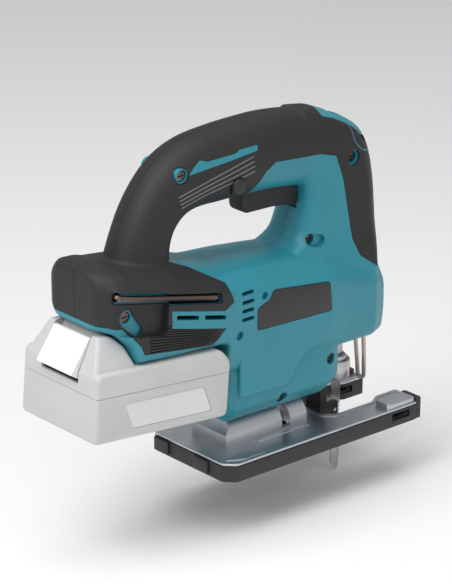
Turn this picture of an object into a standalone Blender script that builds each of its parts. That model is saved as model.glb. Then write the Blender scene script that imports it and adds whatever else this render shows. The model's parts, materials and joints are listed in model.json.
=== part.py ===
"""Cordless jigsaw, modelled as the pieces that it comes apart into.

The frame: +X is the cutting direction, +Y the tool's left, +Z up. The origin lies on the underside of the
sole, on the centreline, BLADE_X behind the middle of the blade. Sizes below are in millimetres, and the
helpers turn them into metres.
"""

import math

import bmesh
import bpy
from mathutils import Matrix, Vector

MM = 0.001
OBJECT_NAME = "cordless_jigsaw"

# Fits
GAP = 0.3                     # between two pieces that only just touch
RUN_GAP = 0.5                 # between pieces that move past each other

# Housing
SKIN = 1.5                    # rubber overmould
WALL = 3.8                    # from the outer surface to the cavity
BODY_HALF = 34.0              # widest half width of the motor housing
BOTTOM_Z = 30.0               # underside of the lower block
NOSE_Z = 60.0                 # underside of the nose
HANDLE_TOP_Z = 203.0          # centre line of the handle's grip
HANDLE_HALF = 18.5            # half width of the handle

# Base
BASE_REAR = -100.0
BASE_FRONT = 71.0
BASE_HALF = 41.0
BASE_TOP = 13.0
COVER_WALL = 2.1
PLATE_THICK = 3.2
SLOT_HALF = 21.0              # half width of the opening round the blade
SLOT_MOUTH = 15.5
TILT_Z = 14.0                 # bevel axis above the sole
SADDLE_R = 18.0
SADDLE_BORE = 13.5
SADDLE_REAR = -82.0
SADDLE_FRONT = -12.0
BOLT_X = -30.0
BOLT_R = 3.0
GUARD_R = 1.5
FENCE_SLOT = (44.0, 60.0, 4.4, 9.4)

# Blade line
BLADE_X = 29.75
BLADE_W = 7.5
BLADE_T = 1.4
BLADE_TIP = -40.0
PLUNGER_R = 4.5
CLAMP_R = 7.0
SLEEVE_R = 9.5
CLAMP_LOW = 28.0
CLAMP_HIGH = 46.0
STROKE = 23.0
ROLLER_R = 6.0
ROLLER_GROOVE = 3.3
ROLLER_Z = 9.0

# Drive
MOTOR_Z = 108.0
MOTOR_R = 24.5
SHAFT_R = 2.5
MODULE = 1.0
PINION_TEETH = 8
GEAR_TEETH = 40
GEAR_X = (1.0, 10.0)
PIN_R = 3.5
YOKE_REAR = 15.5              # the pin stops short of the yoke, so that each can be moved by itself
YOKE_FRONT = 21.4             # the yoke passes behind the lower bush and its holder
YOKE_HALF = 18.8
BUSH_R = 6.2
CRANK_R = STROKE / 2
LOW_BUSH = (64.6, 73.0)
HIGH_BUSH = (130.0, 140.0)
GEAR_Z = MOTOR_Z - MODULE * (PINION_TEETH + GEAR_TEETH) / 2

# Battery, in its own tilted frame: s forward and h up from its lower rear edge
PACK_ORIGIN = (-205.4, 55.7)
PACK_TILT = math.radians(4.85)
PACK_LENGTH = 108.0
PACK_HEIGHT = 45.5
PACK_HALF = 37.5
PACK_SPLIT = 30.0
PACK_WALL = 2.5
TONGUE_HALF = 25.4
TONGUE_NECK = 21.4
TONGUE_HEIGHT = 8.4
TONGUE_LIP = 3.0
HUMP = [(-2.0, 38.0), (9.5, 66.5), (18.5, 65.3), (28.0, 57.0), (33.5, PACK_HEIGHT)]
HUMP_HALF = 25.0

# Controls
TRIGGER_TRAVEL = 5.5
TRIGGER_HALF = 6.5
LOCK_X = -72.5
LOCK_Z = 189.8
LOCK_R = 5.5
SELECTOR_X = -12.0
SELECTOR_Z = 74.0
LEVER_X = 36.0
LEVER_Y = 15.0
WRENCH_REAR = (-180.5, 145.0)
WRENCH_FRONT = (-104.0, 127.5)
SIDE_SLOPE = 0.25             # fall of the side details towards the front
SCREWS = {"rear": (-174.0, 130.5, 30.0), "handle": (-118.0, 206.0, 17.0), "front": (26.0, 188.5, 15.5),
          "pillar": (-11.5, 140.5, 16.0), "nose": (-0.4, 57.6, 26.0), "foot": (-42.0, 41.0, 24.0)}

TEAL = (0.035, 0.28, 0.35)
RUBBER = (0.035, 0.034, 0.036)
ALUMINIUM = (0.62, 0.63, 0.65)
STEEL = (0.45, 0.45, 0.46)
DARK_STEEL = (0.16, 0.12, 0.11)
GREY_PLASTIC = (0.56, 0.56, 0.56)
WHITE = (0.85, 0.85, 0.85)
COPPER = (0.55, 0.25, 0.12)
BRASS = (0.6, 0.45, 0.2)
BLACK_PLASTIC = (0.02, 0.02, 0.022)
GLASS = (0.8, 0.85, 0.9)


# ---------------------------------------------------------------- helpers

def start_scene():
    """Empties the scene and makes the collections for the parts and the cutters."""
    for old in list(bpy.data.objects):
        bpy.data.objects.remove(old, do_unlink=True)
    parts = bpy.data.collections.new(OBJECT_NAME)
    guides = bpy.data.collections.new("cutters")
    bpy.context.scene.collection.children.link(parts)
    bpy.context.scene.collection.children.link(guides)


def material(name, colour, roughness, metallic=0.0):
    """Returns a Principled material for one part."""
    finish = bpy.data.materials.new(name)
    finish.use_nodes = True
    shader = finish.node_tree.nodes["Principled BSDF"]
    shader.inputs["Base Color"].default_value = (*colour, 1.0)
    shader.inputs["Roughness"].default_value = roughness
    shader.inputs["Metallic"].default_value = metallic
    return finish


def guide(mesh):
    """Returns a hidden working object on a mesh."""
    piece = bpy.data.objects.new("guide", mesh)
    piece.hide_render = True
    piece.display_type = "WIRE"
    bpy.data.collections["cutters"].objects.link(piece)
    return piece


def from_bmesh(bm):
    """Turns a bmesh into a working object, with its faces pointing out."""
    bmesh.ops.remove_doubles(bm, verts=bm.verts, dist=1e-6)
    bmesh.ops.recalc_face_normals(bm, faces=bm.faces)
    mesh = bpy.data.meshes.new("guide")
    bm.to_mesh(mesh)
    bm.free()
    return guide(mesh)


def freeze(piece):
    """Applies a working object's modifiers and transform to its mesh."""
    bpy.context.view_layer.update()
    graph = bpy.context.evaluated_depsgraph_get()
    mesh = bpy.data.meshes.new_from_object(piece.evaluated_get(graph))
    mesh.transform(piece.matrix_world)
    bpy.data.objects.remove(piece, do_unlink=True)
    bm = bmesh.new()
    bm.from_mesh(mesh)
    bpy.data.meshes.remove(mesh)
    return from_bmesh(bm)


def combine(piece, tool, operation, keep=False):
    """Joins, cuts or intersects a piece with a tool, and returns the result."""
    step = piece.modifiers.new(operation, "BOOLEAN")
    step.operation = operation
    step.solver = "EXACT"
    step.object = tool
    bpy.context.view_layer.update()
    graph = bpy.context.evaluated_depsgraph_get()
    mesh = bpy.data.meshes.new_from_object(piece.evaluated_get(graph))
    bpy.data.objects.remove(piece, do_unlink=True)
    if not keep:
        bpy.data.objects.remove(tool, do_unlink=True)
    bm = bmesh.new()
    bm.from_mesh(mesh)
    bpy.data.meshes.remove(mesh)
    bmesh.ops.remove_doubles(bm, verts=bm.verts, dist=2e-6)
    bmesh.ops.dissolve_degenerate(bm, edges=bm.edges, dist=2e-6)
    result = bpy.data.meshes.new("guide")
    bm.to_mesh(result)
    bm.free()
    return guide(result)


def join(piece, *tools):
    """Returns the union of a piece and tools."""
    for tool in tools:
        piece = combine(piece, tool, "UNION")
    return piece


def cut(piece, *tools):
    """Returns a piece with tools cut from it."""
    for tool in tools:
        piece = combine(piece, tool, "DIFFERENCE")
    return piece


def keep_inside(piece, tool, keep=False):
    """Returns the part of a piece that lies inside a tool."""
    return combine(piece, tool, "INTERSECT", keep)


def copy_of(piece):
    """Returns a second working object with the same mesh."""
    return guide(piece.data.copy())


def box(low, high):
    """A box between two corners."""
    bm = bmesh.new()
    bmesh.ops.create_cube(bm, size=1.0)
    size = [(b - a) * MM for a, b in zip(low, high)]
    middle = [(a + b) / 2 * MM for a, b in zip(low, high)]
    bmesh.ops.scale(bm, vec=size, verts=bm.verts)
    bmesh.ops.translate(bm, vec=middle, verts=bm.verts)
    return from_bmesh(bm)


AXES = {"X": Matrix.Rotation(math.pi / 2, 4, "Y"), "Y": Matrix.Rotation(-math.pi / 2, 4, "X"),
        "Z": Matrix()}


def rod(axis, centre, start, end, radius, sides=16, end_radius=None):
    """A cylinder or cone along an axis. centre gives its two other coordinates, in axis order."""
    bm = bmesh.new()
    last = radius if end_radius is None else end_radius
    bmesh.ops.create_cone(bm, cap_ends=True, segments=sides, radius1=radius * MM, radius2=last * MM,
                          depth=(end - start) * MM)
    bmesh.ops.transform(bm, matrix=AXES[axis], verts=bm.verts)
    middle = (start + end) / 2
    place = {"X": (middle, *centre), "Y": (centre[0], middle, centre[1]), "Z": (*centre, middle)}[axis]
    bmesh.ops.translate(bm, vec=Vector(place) * MM, verts=bm.verts)
    return from_bmesh(bm)


def turned(axis, centre, profile, sides=20):
    """A turned piece. profile lists (radius, place along the axis) round the closed section."""
    mesh = bpy.data.meshes.new("profile")
    points = [(radius * MM, 0.0, place * MM) for radius, place in profile]
    closed = all(radius > 0 for radius, _ in profile)
    count = len(points)
    edges = [(i, (i + 1) % count) for i in range(count if closed else count - 1)]
    mesh.from_pydata(points, edges, [])
    piece = guide(mesh)
    screw = piece.modifiers.new("turn", "SCREW")
    screw.steps = sides
    screw.render_steps = sides
    screw.use_merge_vertices = True
    screw.merge_threshold = 1e-5
    place = {"X": (0.0, *centre), "Y": (centre[0], 0.0, centre[1]), "Z": (*centre, 0.0)}[axis]
    piece.matrix_world = Matrix.Translation(Vector(place) * MM) @ AXES[axis]
    return freeze(piece)


PLANES = {"X": Matrix(((0, 0, 1, 0), (1, 0, 0, 0), (0, 1, 0, 0), (0, 0, 0, 1))),
          "Y": Matrix(((1, 0, 0, 0), (0, 0, -1, 0), (0, 1, 0, 0), (0, 0, 0, 1))), "Z": Matrix()}


def sheet(axis, outline, start, end):
    """A flat outline, given by the two other coordinates, made solid from start to end along an axis."""
    curve = bpy.data.curves.new("outline", "CURVE")
    curve.dimensions = "2D"
    curve.fill_mode = "BOTH"
    curve.extrude = (end - start) / 2 * MM
    spline = curve.splines.new("POLY")
    spline.points.add(len(outline) - 1)
    for point, (u, v) in zip(spline.points, outline):
        point.co = (u * MM, v * MM, 0.0, 1.0)
    spline.use_cyclic_u = True
    piece = bpy.data.objects.new("outline", curve)
    bpy.data.collections["cutters"].objects.link(piece)
    middle = (start + end) / 2 * MM
    shift = {"X": (middle, 0, 0), "Y": (0, middle, 0), "Z": (0, 0, middle)}[axis]
    piece.matrix_world = Matrix.Translation(shift) @ PLANES[axis]
    return freeze(piece)


def wire(points, radius, resolution=2):
    """A bent wire through a list of points."""
    curve = bpy.data.curves.new("wire", "CURVE")
    curve.dimensions = "3D"
    curve.bevel_depth = radius * MM
    curve.bevel_resolution = resolution
    curve.use_fill_caps = True
    spline = curve.splines.new("POLY")
    spline.points.add(len(points) - 1)
    for point, place in zip(spline.points, points):
        point.co = (*(Vector(place) * MM), 1.0)
    piece = bpy.data.objects.new("wire", curve)
    bpy.data.collections["cutters"].objects.link(piece)
    return freeze(piece)


def loft(rings):
    """A closed skin over rings that have the same number of points."""
    bm = bmesh.new()
    rows = [[bm.verts.new(Vector(point) * MM) for point in ring] for ring in rings]
    count = len(rows[0])
    for row, following in zip(rows, rows[1:]):
        for i in range(count):
            k = (i + 1) % count
            bm.faces.new((row[i], row[k], following[k], following[i]))
    bm.faces.new(rows[0])
    bm.faces.new(rows[-1])
    return from_bmesh(bm)


def soften(corners, reach):
    """Rounds each corner of a closed outline with a short facet that starts reach from the corner."""
    points = []
    count = len(corners)
    for i, corner in enumerate(corners):
        here = Vector(corner)
        for other in (Vector(corners[i - 1]), Vector(corners[(i + 1) % count])):
            leg = other - here
            points.append(tuple(here + leg * min(reach / leg.length, 0.4)))
    return points


def mirrored(half):
    """Closes a half outline, given from low to high on the +Y side, with its mirror image."""
    return half + [(-y, z) for y, z in reversed(half)]


def tilted(point):
    """World X and Z of a point in the battery's own frame."""
    s, h = point
    x = PACK_ORIGIN[0] + s * math.cos(PACK_TILT) + h * math.sin(PACK_TILT)
    z = PACK_ORIGIN[1] - s * math.sin(PACK_TILT) + h * math.cos(PACK_TILT)
    return x, z


def part(piece, name, finish, pivot=None):
    """Makes a working object a part of the tool, with its origin on its joint's axis where it has one."""
    piece.name = name
    piece.data.name = name
    piece.hide_render = False
    piece.display_type = "TEXTURED"
    bpy.data.collections["cutters"].objects.unlink(piece)
    bpy.data.collections[OBJECT_NAME].objects.link(piece)
    if pivot is not None:
        offset = Vector(pivot) * MM
        piece.data.transform(Matrix.Translation(-offset))
        piece.location = offset
    piece.data.materials.clear()
    piece.data.materials.append(material(name, *finish))
    piece.data.shade_smooth()
    piece.data.set_sharp_from_angle(angle=math.radians(30))
    return piece


# ---------------------------------------------------------------- the housing's outer form

def floor_point(s, h, inset):
    """A corner of the housing's underside over the battery, with its running gap and an inset."""
    x, z = tilted((s, h + RUN_GAP))
    return x, z + inset


def body_form(inset):
    """The motor and battery housing as one loft along X, inset from its outer surface."""
    deck_rear, deck_rear_z = floor_point(34.5, PACK_HEIGHT, inset)
    step_x, step_z = floor_point(PACK_LENGTH, PACK_HEIGHT, inset)
    slope_x, slope_z = floor_point(29.0, 57.0, inset)
    crest_x, crest_z = floor_point(19.0, 65.5, inset)
    rim_x, rim_z = floor_point(9.8, 66.8, inset)
    middle_x, middle_z = floor_point(65.0, PACK_HEIGHT, inset)
    wide = BODY_HALF - inset
    # place along X, then half width and height of the six corners from the underside to the top
    stations = [
        (rim_x + inset, [(16, rim_z), (19, rim_z + 1), (21.5, 127), (21.5, 148), (19, 154), (12, 157)]),
        (rim_x + 4 + inset, [(20, rim_z - 1), (26, rim_z), (28.5, 127), (28.5, 148), (24, 155),
                             (15, 158.5)]),
        (crest_x + inset, [(22, crest_z), (31, crest_z), (34.4, 126), (34.4, 147), (27.5, 155.5),
                           (17, 159)]),
        (slope_x + inset, [(22, slope_z), (32, slope_z), (35.6, slope_z + 5), (35.6, 146), (28, 155),
                           (18, 158)]),
        (deck_rear + inset, [(22, deck_rear_z), (33, deck_rear_z), (36, 103), (36, 145), (28, 153.5),
                             (18, 156.5)]),
        (middle_x + inset, [(22, middle_z), (33, middle_z), (36, 101), (36, 141), (27, 150), (18, 154)]),
        (-118, [(22, 95.6 + inset), (33, 95.6 + inset), (36, 99), (35.5, 136), (26, 145), (16, 149)]),
        (step_x + 0.6 + inset, [(22, step_z), (32, step_z), (34.6, 98), (34.4, 128), (26, 138), (14, 142)]),
        (step_x + 2.2 + inset, [(20, 67), (29, 72), (34, 92), (34.2, 127), (26, 138), (14, 141)]),
        (-60, [(20, 66), (30, 72), (34, 92), (34, 122.5), (25, 136.5), (12, 139)]),
        (-30, [(20, 64), (30, 71), (34, 90), (34, 119), (24, 133.5), (12, 136.5)]),
        (-5, [(20, 62), (30, 69), (34, 88), (34, 116), (22, 130), (10, 134)]),
        (12, [(18, 60), (28, 67), (31, 84), (31, 112), (20, 124), (10, 131)]),
        (40, [(17, NOSE_Z), (25.5, 64), (27.5, 76), (27.5, 103), (19, 112), (10, 124)]),
        (53 - inset, [(13, NOSE_Z), (19, 64), (21, 78), (21, 98), (15, 108), (8, 118)]),
        (60 - inset, [(6, 64), (10, 68), (12, 78), (11, 88), (8, 98), (4, 106)]),
    ]
    rings = []
    for index, (x, corners) in enumerate(stations):
        over_pack = index < 8
        half = []
        for number, (y, z) in enumerate(corners):
            low = number < 2 and over_pack
            lift = 0 if low else inset * (1 if number < 3 else -1)
            if number < 3 and over_pack and not low:
                lift = inset
            half.append((min(y - inset if number not in (0, 5) else y - inset * 0.5, wide + 2), z + lift))
        outline = soften(mirrored(half), 3.0)
        rings.append([(x, y, z) for y, z in outline])
    return loft(rings)


def block_form(inset):
    """The lower block that holds the base."""
    low = BOTTOM_Z + inset
    stations = [
        (-89.6 + inset, [(14, low + 12), (22, low + 22), (22, 70), (14, 82 - inset)]),
        (-82, [(16.5, low + 1), (28 - inset, low + 12.5 - inset / 2), (28 - inset, 70), (16, 82 - inset)]),
        (0, [(16.5, low), (28 - inset, low + 11.5 - inset / 2), (28 - inset, 70), (16, 82 - inset)]),
        (8.5 - inset, [(14, low + 3), (25 - inset, low + 14 - inset / 2), (25 - inset, 70),
                       (14, 82 - inset)]),
    ]
    return loft([[(x, y, z) for y, z in soften(mirrored(half), 3.0)] for x, half in stations])


def pillar_form(inset):
    """The front pillar, from the nose to the top of the handle."""
    # height, rear, front, half width
    stations = [(100, -36, 56.5, 26), (120, -38, 56.5, 23.5), (131, -36, 56, 21.5), (140, -22, 55.5, 20),
                (150, -16.5, 55, 19.5), (168, -12, 53.5, 19), (186, -14, 50, 18.5), (198, -18, 45, 17.8),
                (207, -22, 37.5, 16.8), (217, -24, 21, 15.2), (226 - inset, -24, 1, 13)]
    rings = []
    for z, rear, front, half in stations:
        back = rear + inset
        nose = front - inset
        side = half - inset
        corners = [(back, -side * 0.62), (back + 6, -side), (nose - 13, -side), (nose, -side * 0.42)]
        outline = soften(corners + [(x, -y) for x, y in reversed(corners)], 3.0)
        rings.append([(x, y, z) for x, y in outline])
    return loft(rings)


def handle_form(inset):
    """The handle, as oval rings along its curved centre line."""
    low = HANDLE_TOP_Z
    # centre, half height across the line, half width
    path = [(-143, 128, 24, 21), (-142.5, 142, 23, 20.5), (-141, 154, 20.5, 18.8), (-138, 166, 18.8, 18),
            (-132.5, 178, 18.3, 18), (-123.5, 189, 19.6, 18), (-112, 197, 21.8, HANDLE_HALF),
            (-98, 201.3, 23.5, HANDLE_HALF), (-80, low, 24.6, 19), (-58, low + 0.6, 25.2, 19),
            (-34, low, 25.6, 19), (-3, low - 4, 25.4, HANDLE_HALF), (12, low - 8, 24, 18)]
    rings = []
    sides = 18
    for i, (x, z, tall, wide) in enumerate(path):
        before = path[max(i - 1, 0)]
        after = path[min(i + 1, len(path) - 1)]
        run = Vector((after[0] - before[0], after[1] - before[1])).normalized()
        across = Vector((-run.y, run.x))
        ring = []
        for k in range(sides):
            angle = 2 * math.pi * (k + 0.5) / sides
            u = math.copysign(abs(math.cos(angle)) ** 0.85, math.cos(angle)) * (tall - inset)
            v = math.copysign(abs(math.sin(angle)) ** 0.85, math.sin(angle)) * (wide - inset)
            ring.append((x + across.x * u, v, z + across.y * u))
        rings.append(ring)
    return loft(rings)


def outer_form(inset):
    """The whole outer form of the housing, inset from its surface."""
    return join(body_form(inset), block_form(inset), pillar_form(inset), handle_form(inset))


def rubber_outline(gap):
    """Side outline of the soft overmould. gap moves the edges that meet the teal shell outwards."""
    rear_x, rear_z = tilted((9.8, 66.8))
    slope_x, slope_z = tilted((33.0, 48.0))
    end_x, end_z = tilted((98.0, PACK_HEIGHT))
    band = 4.5 - gap
    return [(-60 + gap, 165), (-60 + gap, 179), (-50 + gap, 195 - gap), (-42, 200 - gap), (-3, 197 - gap),
            (11 - gap, 193 - gap), (17 - gap, 175), (22 - gap, 147), (24 - gap, 133), (29 - gap, 122 - gap),
            (44, 111 - gap), (90, 100 - gap), (90, 260), (-230, 260), (-230, rear_z + band + 1),
            (rear_x + 4, rear_z + band), (rear_x + 13, rear_z - 2 + band),
            (slope_x - 2 + 4.5 - gap, slope_z + 10),
            (slope_x + 5 - gap, slope_z + band), (end_x - 4, end_z + band), (-97.6 + 3 * gap, 105.4),
            (-142 + gap, 116.6 + gap), (-142 + gap, 128.6 - gap), (-97.6, 117.6 - gap), (-90 + gap, 121),
            (-94 + gap, 134), (-116 + gap, 147), (-128 + gap, 152), (-105, 158)]


def top_plate_outline(gap):
    """Side outline of the plate on top of the front of the handle."""
    return [(3 - gap, 200), (3 - gap, 240), (44 + gap, 240), (44 + gap, 200)]


def half_of(piece, side, gap=GAP / 2):
    """The part of a piece on one side of the parting plane, closed where it was split."""
    bm = bmesh.new()
    bm.from_mesh(piece.data)
    everything = bm.verts[:] + bm.edges[:] + bm.faces[:]
    split = bmesh.ops.bisect_plane(bm, geom=everything, dist=1e-7, plane_co=(0, side * gap * MM, 0),
                                   plane_no=(0, -side, 0), clear_outer=True)
    rim = [item for item in split["geom_cut"] if isinstance(item, bmesh.types.BMEdge)]
    bmesh.ops.triangle_fill(bm, edges=rim, use_beauty=True, normal=(0, -side, 0))
    return from_bmesh(bm)


def cavity_form():
    """The hollow inside the housing, with a thick deck left over the battery."""
    hollow = outer_form(WALL)
    deck_x, deck_z = tilted((PACK_LENGTH, PACK_HEIGHT + TONGUE_HEIGHT + 2 * RUN_GAP + WALL))
    return cut(hollow, box((-182, -50, 60), (deck_x + 3.4, 50, deck_z + 6)))


def vents():
    """Air slots in both sides of the housing."""
    tools = []
    for row in range(4):
        z = 105.5 + row * 5.8
        tools.append(box((-83, -40, z), (-73, 40, z + 2.6)))
    for start, end in ((-138, -120), (-115, -97)):
        high = 124.6 - (start + 138) * SIDE_SLOPE
        fall = (end - start) * SIDE_SLOPE
        tools.append(sheet("Y", [(start, high - 3), (end, high - 3 - fall), (end, high - fall),
                                 (start, high)], -45,
                           45))
    return tools


def battery_channel():
    """The T-shaped way for the battery's tongue in the housing's deck."""
    wide = tongue_bar(TONGUE_HALF + RUN_GAP, 20.0, PACK_LENGTH - 3.0, TONGUE_LIP - RUN_GAP,
                      TONGUE_HEIGHT + RUN_GAP)
    neck = tongue_bar(TONGUE_NECK + RUN_GAP, 21.0, PACK_LENGTH - 3.4, -3.0, TONGUE_LIP + 1.0)
    return [join(wide, neck)]


def tongue_bar(half, start, end, low, high):
    """A bar along the battery's top, from start to end and between two heights over its ledge."""
    base = PACK_HEIGHT
    corners = [tilted(p) for p in ((start, base + low), (end, base + low), (end, base + high),
                                   (start, base + high))]
    return sheet("Y", corners, -half, half)


def make_housing():
    """Both clamshell halves, both overmoulds and the top plate."""
    outer = outer_form(0.0)
    core = outer_form(SKIN + GAP)
    under_skin = outer_form(SKIN)
    rubber_zone = sheet("Y", rubber_outline(0.0), -80, 80)
    rubber_pocket = sheet("Y", rubber_outline(GAP), -80, 80)
    plate_zone = keep_inside(sheet("Y", top_plate_outline(0.0), -12.5, 12.5), outer, keep=True)
    plate_pocket = sheet("Y", top_plate_outline(GAP), -12.5 - GAP, 12.5 + GAP)

    plate = cut(plate_zone, copy_of(under_skin))
    plate = cut(plate, box((12, -7, 190), (24, 7, 240)))
    part(plate, "top_plate", (TEAL, 0.4))

    rubber = keep_inside(copy_of(outer), rubber_zone)
    rubber = cut(rubber, under_skin, plate_pocket)
    shell = cut(outer, rubber_pocket)
    shell = join(shell, core)
    shell = cut(shell, cavity_form(), *battery_channel(), *vents())
    opening = box((-60.8, -TRIGGER_HALF - RUN_GAP, 159.5), (-11.6, TRIGGER_HALF + RUN_GAP, 192))
    rubber = cut(rubber, copy_of(opening))
    shell = cut(shell, opening, rod("Z", (BOLT_X, 0), 20, 60, BOLT_R + RUN_GAP),
                rod("X", (0, TILT_Z), SADDLE_REAR - 12, SADDLE_FRONT + 25, SADDLE_R + RUN_GAP, 40),
                rod("Z", (BLADE_X, 0), 50, 75, SLEEVE_R + 2, 24),
                rod("X", (0, GEAR_Z), -0.5, GEAR_X[1] + 1.5, MODULE * GEAR_TEETH / 2 + 1.6, 32),
                *[rod("Z", (50.1, y), 50, 66.6, GUARD_R + 0.4, 12) for y in (-4.5, 4.5)])
    button_hole = rod("Y", (LOCK_X, LOCK_Z), -30, 30, LOCK_R + RUN_GAP, 20)
    shell = cut(shell, copy_of(button_hole))
    rubber = cut(rubber, button_hole)
    for x, z, _ in SCREWS.values():
        rubber = cut(rubber, rod("Y", (x, z), -60, 60, 5.2, 14))
    for side, label in ((-1, "right"), (1, "left")):
        cover = half_of(rubber, side)
        half = add_bosses(half_of(shell, side), side)
        if side < 0:
            half = cut(half, sheet("Y", label_outline(0.4), -40, -BODY_HALF + 0.9),
                       rod("Y", (-64, 119), -40, -BODY_HALF + 2.6, 2.6, 12),
                       rod("Y", (-85, 97), -40, -BODY_HALF + 2.6, 3.0, 12))
            channel = wrench_channel()
            key_hole = rod("Y", WRENCH_REAR, -45, -6, 3.2, 12)
            half = cut(half, copy_of(channel), copy_of(key_hole), rod("X", (-14, 50), 2, 14, 3.6, 14))
            cover = cut(cover, channel, key_hole)
        else:
            half = cut(half, rod("Y", (SELECTOR_X, SELECTOR_Z), 10, 45, 3.4, 14),
                       rod("Z", (LEVER_X, LEVER_Y), 50, 68, 2.4, 12))
        part(half, "housing_" + label, (TEAL, 0.4))
        part(cover, "overmould_" + label, (RUBBER, 0.75))
    bpy.data.objects.remove(rubber, do_unlink=True)
    bpy.data.objects.remove(shell, do_unlink=True)


def wrench_channel():
    """The channel in the right side that holds the hex key."""
    rear_x, rear_z = WRENCH_REAR
    front_x, front_z = WRENCH_FRONT
    outline = [(rear_x - 4.5, rear_z - 3.4), (front_x + 4, front_z - 4.6), (front_x + 4, front_z + 2.4),
               (rear_x - 4.5, rear_z + 4.6)]
    return sheet("Y", outline, -45, -29.5)


def add_bosses(half, side):
    """Adds the screw bosses to one half, then drills them."""
    for x, z, reach in SCREWS.values():
        low, high = sorted((side * GAP / 2, side * reach))
        half = join(half, rod("Y", (x, z), low, high, 4.6, 12))
    for x, z, reach in SCREWS.values():
        if side < 0:
            half = cut(half, rod("Y", (x, z), -reach - 30, -reach + 4, 3.9, 14),
                       rod("Y", (x, z), -60, 2, 2.1, 10))
        else:
            half = cut(half, rod("Y", (x, z), -2, 12.6, 2.1, 10))
    return half


def make_screws():
    """The housing screws, driven in from the right."""
    for name, (x, z, reach) in SCREWS.items():
        head = -reach + 3.6
        profile = [(0, head - 2.6), (3.5, head - 2.6), (3.5, head), (1.8, head), (1.8, 12), (0, 12.3)]
        screw = turned("Y", (x, z), profile[::-1], 12)
        screw = cut(screw, box((x - 2.4, head - 3, z - 0.5), (x + 2.4, head - 1.2, z + 0.5)))
        part(screw, "screw_" + name, (DARK_STEEL, 0.35, 1.0))


def label_outline(gap):
    """Side outline of the rating plate."""
    return [(-56 - gap, 121 + gap), (-8 + gap, 115 + gap), (-6 + gap, 95 - gap), (-70 - gap, 97 - gap),
            (-70 - gap, 112), (-60 - gap, 115 + gap)]


def make_label():
    """The rating plate on the right."""
    part(sheet("Y", label_outline(0.0), -BODY_HALF - 0.1, -BODY_HALF + 0.6), "label_plate",
         (BLACK_PLASTIC, 0.45))


# ---------------------------------------------------------------- the drive

def make_motor():
    """Motor can, magnets, end bell, brushes and the turning armature."""
    line = (0, MOTOR_Z)
    can_rear, can_front = -77.5, -24.0
    wall = 1.8
    can = turned("X", line, [(MOTOR_R, can_rear), (MOTOR_R - wall, can_rear),
                             (MOTOR_R - wall, can_front - 2),
                             (8, can_front - 2), (8, can_front), (MOTOR_R, can_front)][::-1], 28)
    part(can, "motor_can", (STEEL, 0.35, 1.0))
    for number, side in ((1, 1), (2, -1)):
        arc = []
        for radius, order in ((MOTOR_R - wall - GAP, 1), (19.4, -1)):
            angles = [math.radians(-65 + 130 * k / 8) for k in range(9)][::order]
            arc += [(side * radius * math.cos(a), MOTOR_Z + radius * math.sin(a)) for a in angles]
        part(sheet("X", arc, -70, -32), f"field_magnet_{number}", (DARK_STEEL, 0.6))
    bell = turned("X", line, [(MOTOR_R, -88), (4.2, -88), (4.2, -86.4), (11, -86.4), (11, -84), (20, -84),
                              (20, can_rear - GAP), (MOTOR_R, can_rear - GAP)][::-1], 28)
    part(bell, "end_bell", (BLACK_PLASTIC, 0.5))
    for number, side in ((1, 1), (2, -1)):
        low, high = sorted((side * 8.4, side * 16))
        part(box((-82, low, MOTOR_Z - 3), (-77, high, MOTOR_Z + 3)), f"brush_{number}",
             (BLACK_PLASTIC, 0.6))
    core = turned("X", line, [(SHAFT_R + GAP, -68), (SHAFT_R + GAP, -34), (17.6, -34), (18.2, -36),
                              (18.2, -66),
                              (17.6, -68)], 24)
    for k in range(8):
        angle = 2 * math.pi * k / 8
        y, z = 18.2 * math.cos(angle), MOTOR_Z + 18.2 * math.sin(angle)
        core = cut(core, rod("X", (y, z), -70, -32, 1.8, 8))
    part(core, "armature_core", (STEEL, 0.45, 1.0), (0, *line))
    part(turned("X", line, [(SHAFT_R + GAP, -83.5), (SHAFT_R + GAP, -74), (8, -74), (8, -83.5)], 16),
         "commutator", (COPPER, 0.3, 1.0), (0, *line))
    shaft = rod("X", line, -89.1, GEAR_X[1] + 1, SHAFT_R, 14)
    pinion = gear_blank(PINION_TEETH, MODULE, GEAR_X[0] - 0.5, GEAR_X[1] + 0.5, 0, MOTOR_Z, 0.0)
    part(join(shaft, pinion), "armature_shaft", (STEEL, 0.25, 1.0), (0, *line))
    fan = turned("X", line, [(SHAFT_R + GAP, -21), (SHAFT_R + GAP, -13), (7, -13), (7, -19.5), (21, -19.5),
                             (21, -21)], 20)
    for k in range(9):
        blade = box((-20, -0.6, MOTOR_Z + 8), (-13.5, 0.6, MOTOR_Z + 20.6))
        spin = (Matrix.Translation((0, 0, MOTOR_Z * MM)) @ Matrix.Rotation(2 * math.pi * k / 9, 4, "X")
                @ Matrix.Translation((0, 0, -MOTOR_Z * MM)))
        blade.data.transform(spin)
        fan = join(fan, blade)
    part(fan, "cooling_fan", (BLACK_PLASTIC, 0.5), (0, *line))
    for name, rear in (("rear_bearing", -89.0), ("front_bearing", -10.5)):
        outer = 4.0 if name == "rear_bearing" else 8.0
        ring = turned("X", line, [(SHAFT_R + GAP, rear), (SHAFT_R + GAP, rear + 4.5), (outer, rear + 4.5),
                                  (outer, rear)], 18)
        part(ring, name, (STEEL, 0.25, 1.0))


def gear_blank(teeth, module, start, end, y, z, turn):
    """A spur gear along X, with simple straight-sided teeth."""
    root = module * teeth / 2 - 1.15 * module
    tip = module * teeth / 2 + 0.85 * module
    outline = []
    for k in range(teeth):
        for share, radius in ((0.32, root), (0.44, tip), (0.58, tip), (0.70, root)):
            angle = turn + 2 * math.pi * (k + share) / teeth
            outline.append((y + radius * math.cos(angle), z + radius * math.sin(angle)))
    return sheet("X", outline, start, end)


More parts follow.
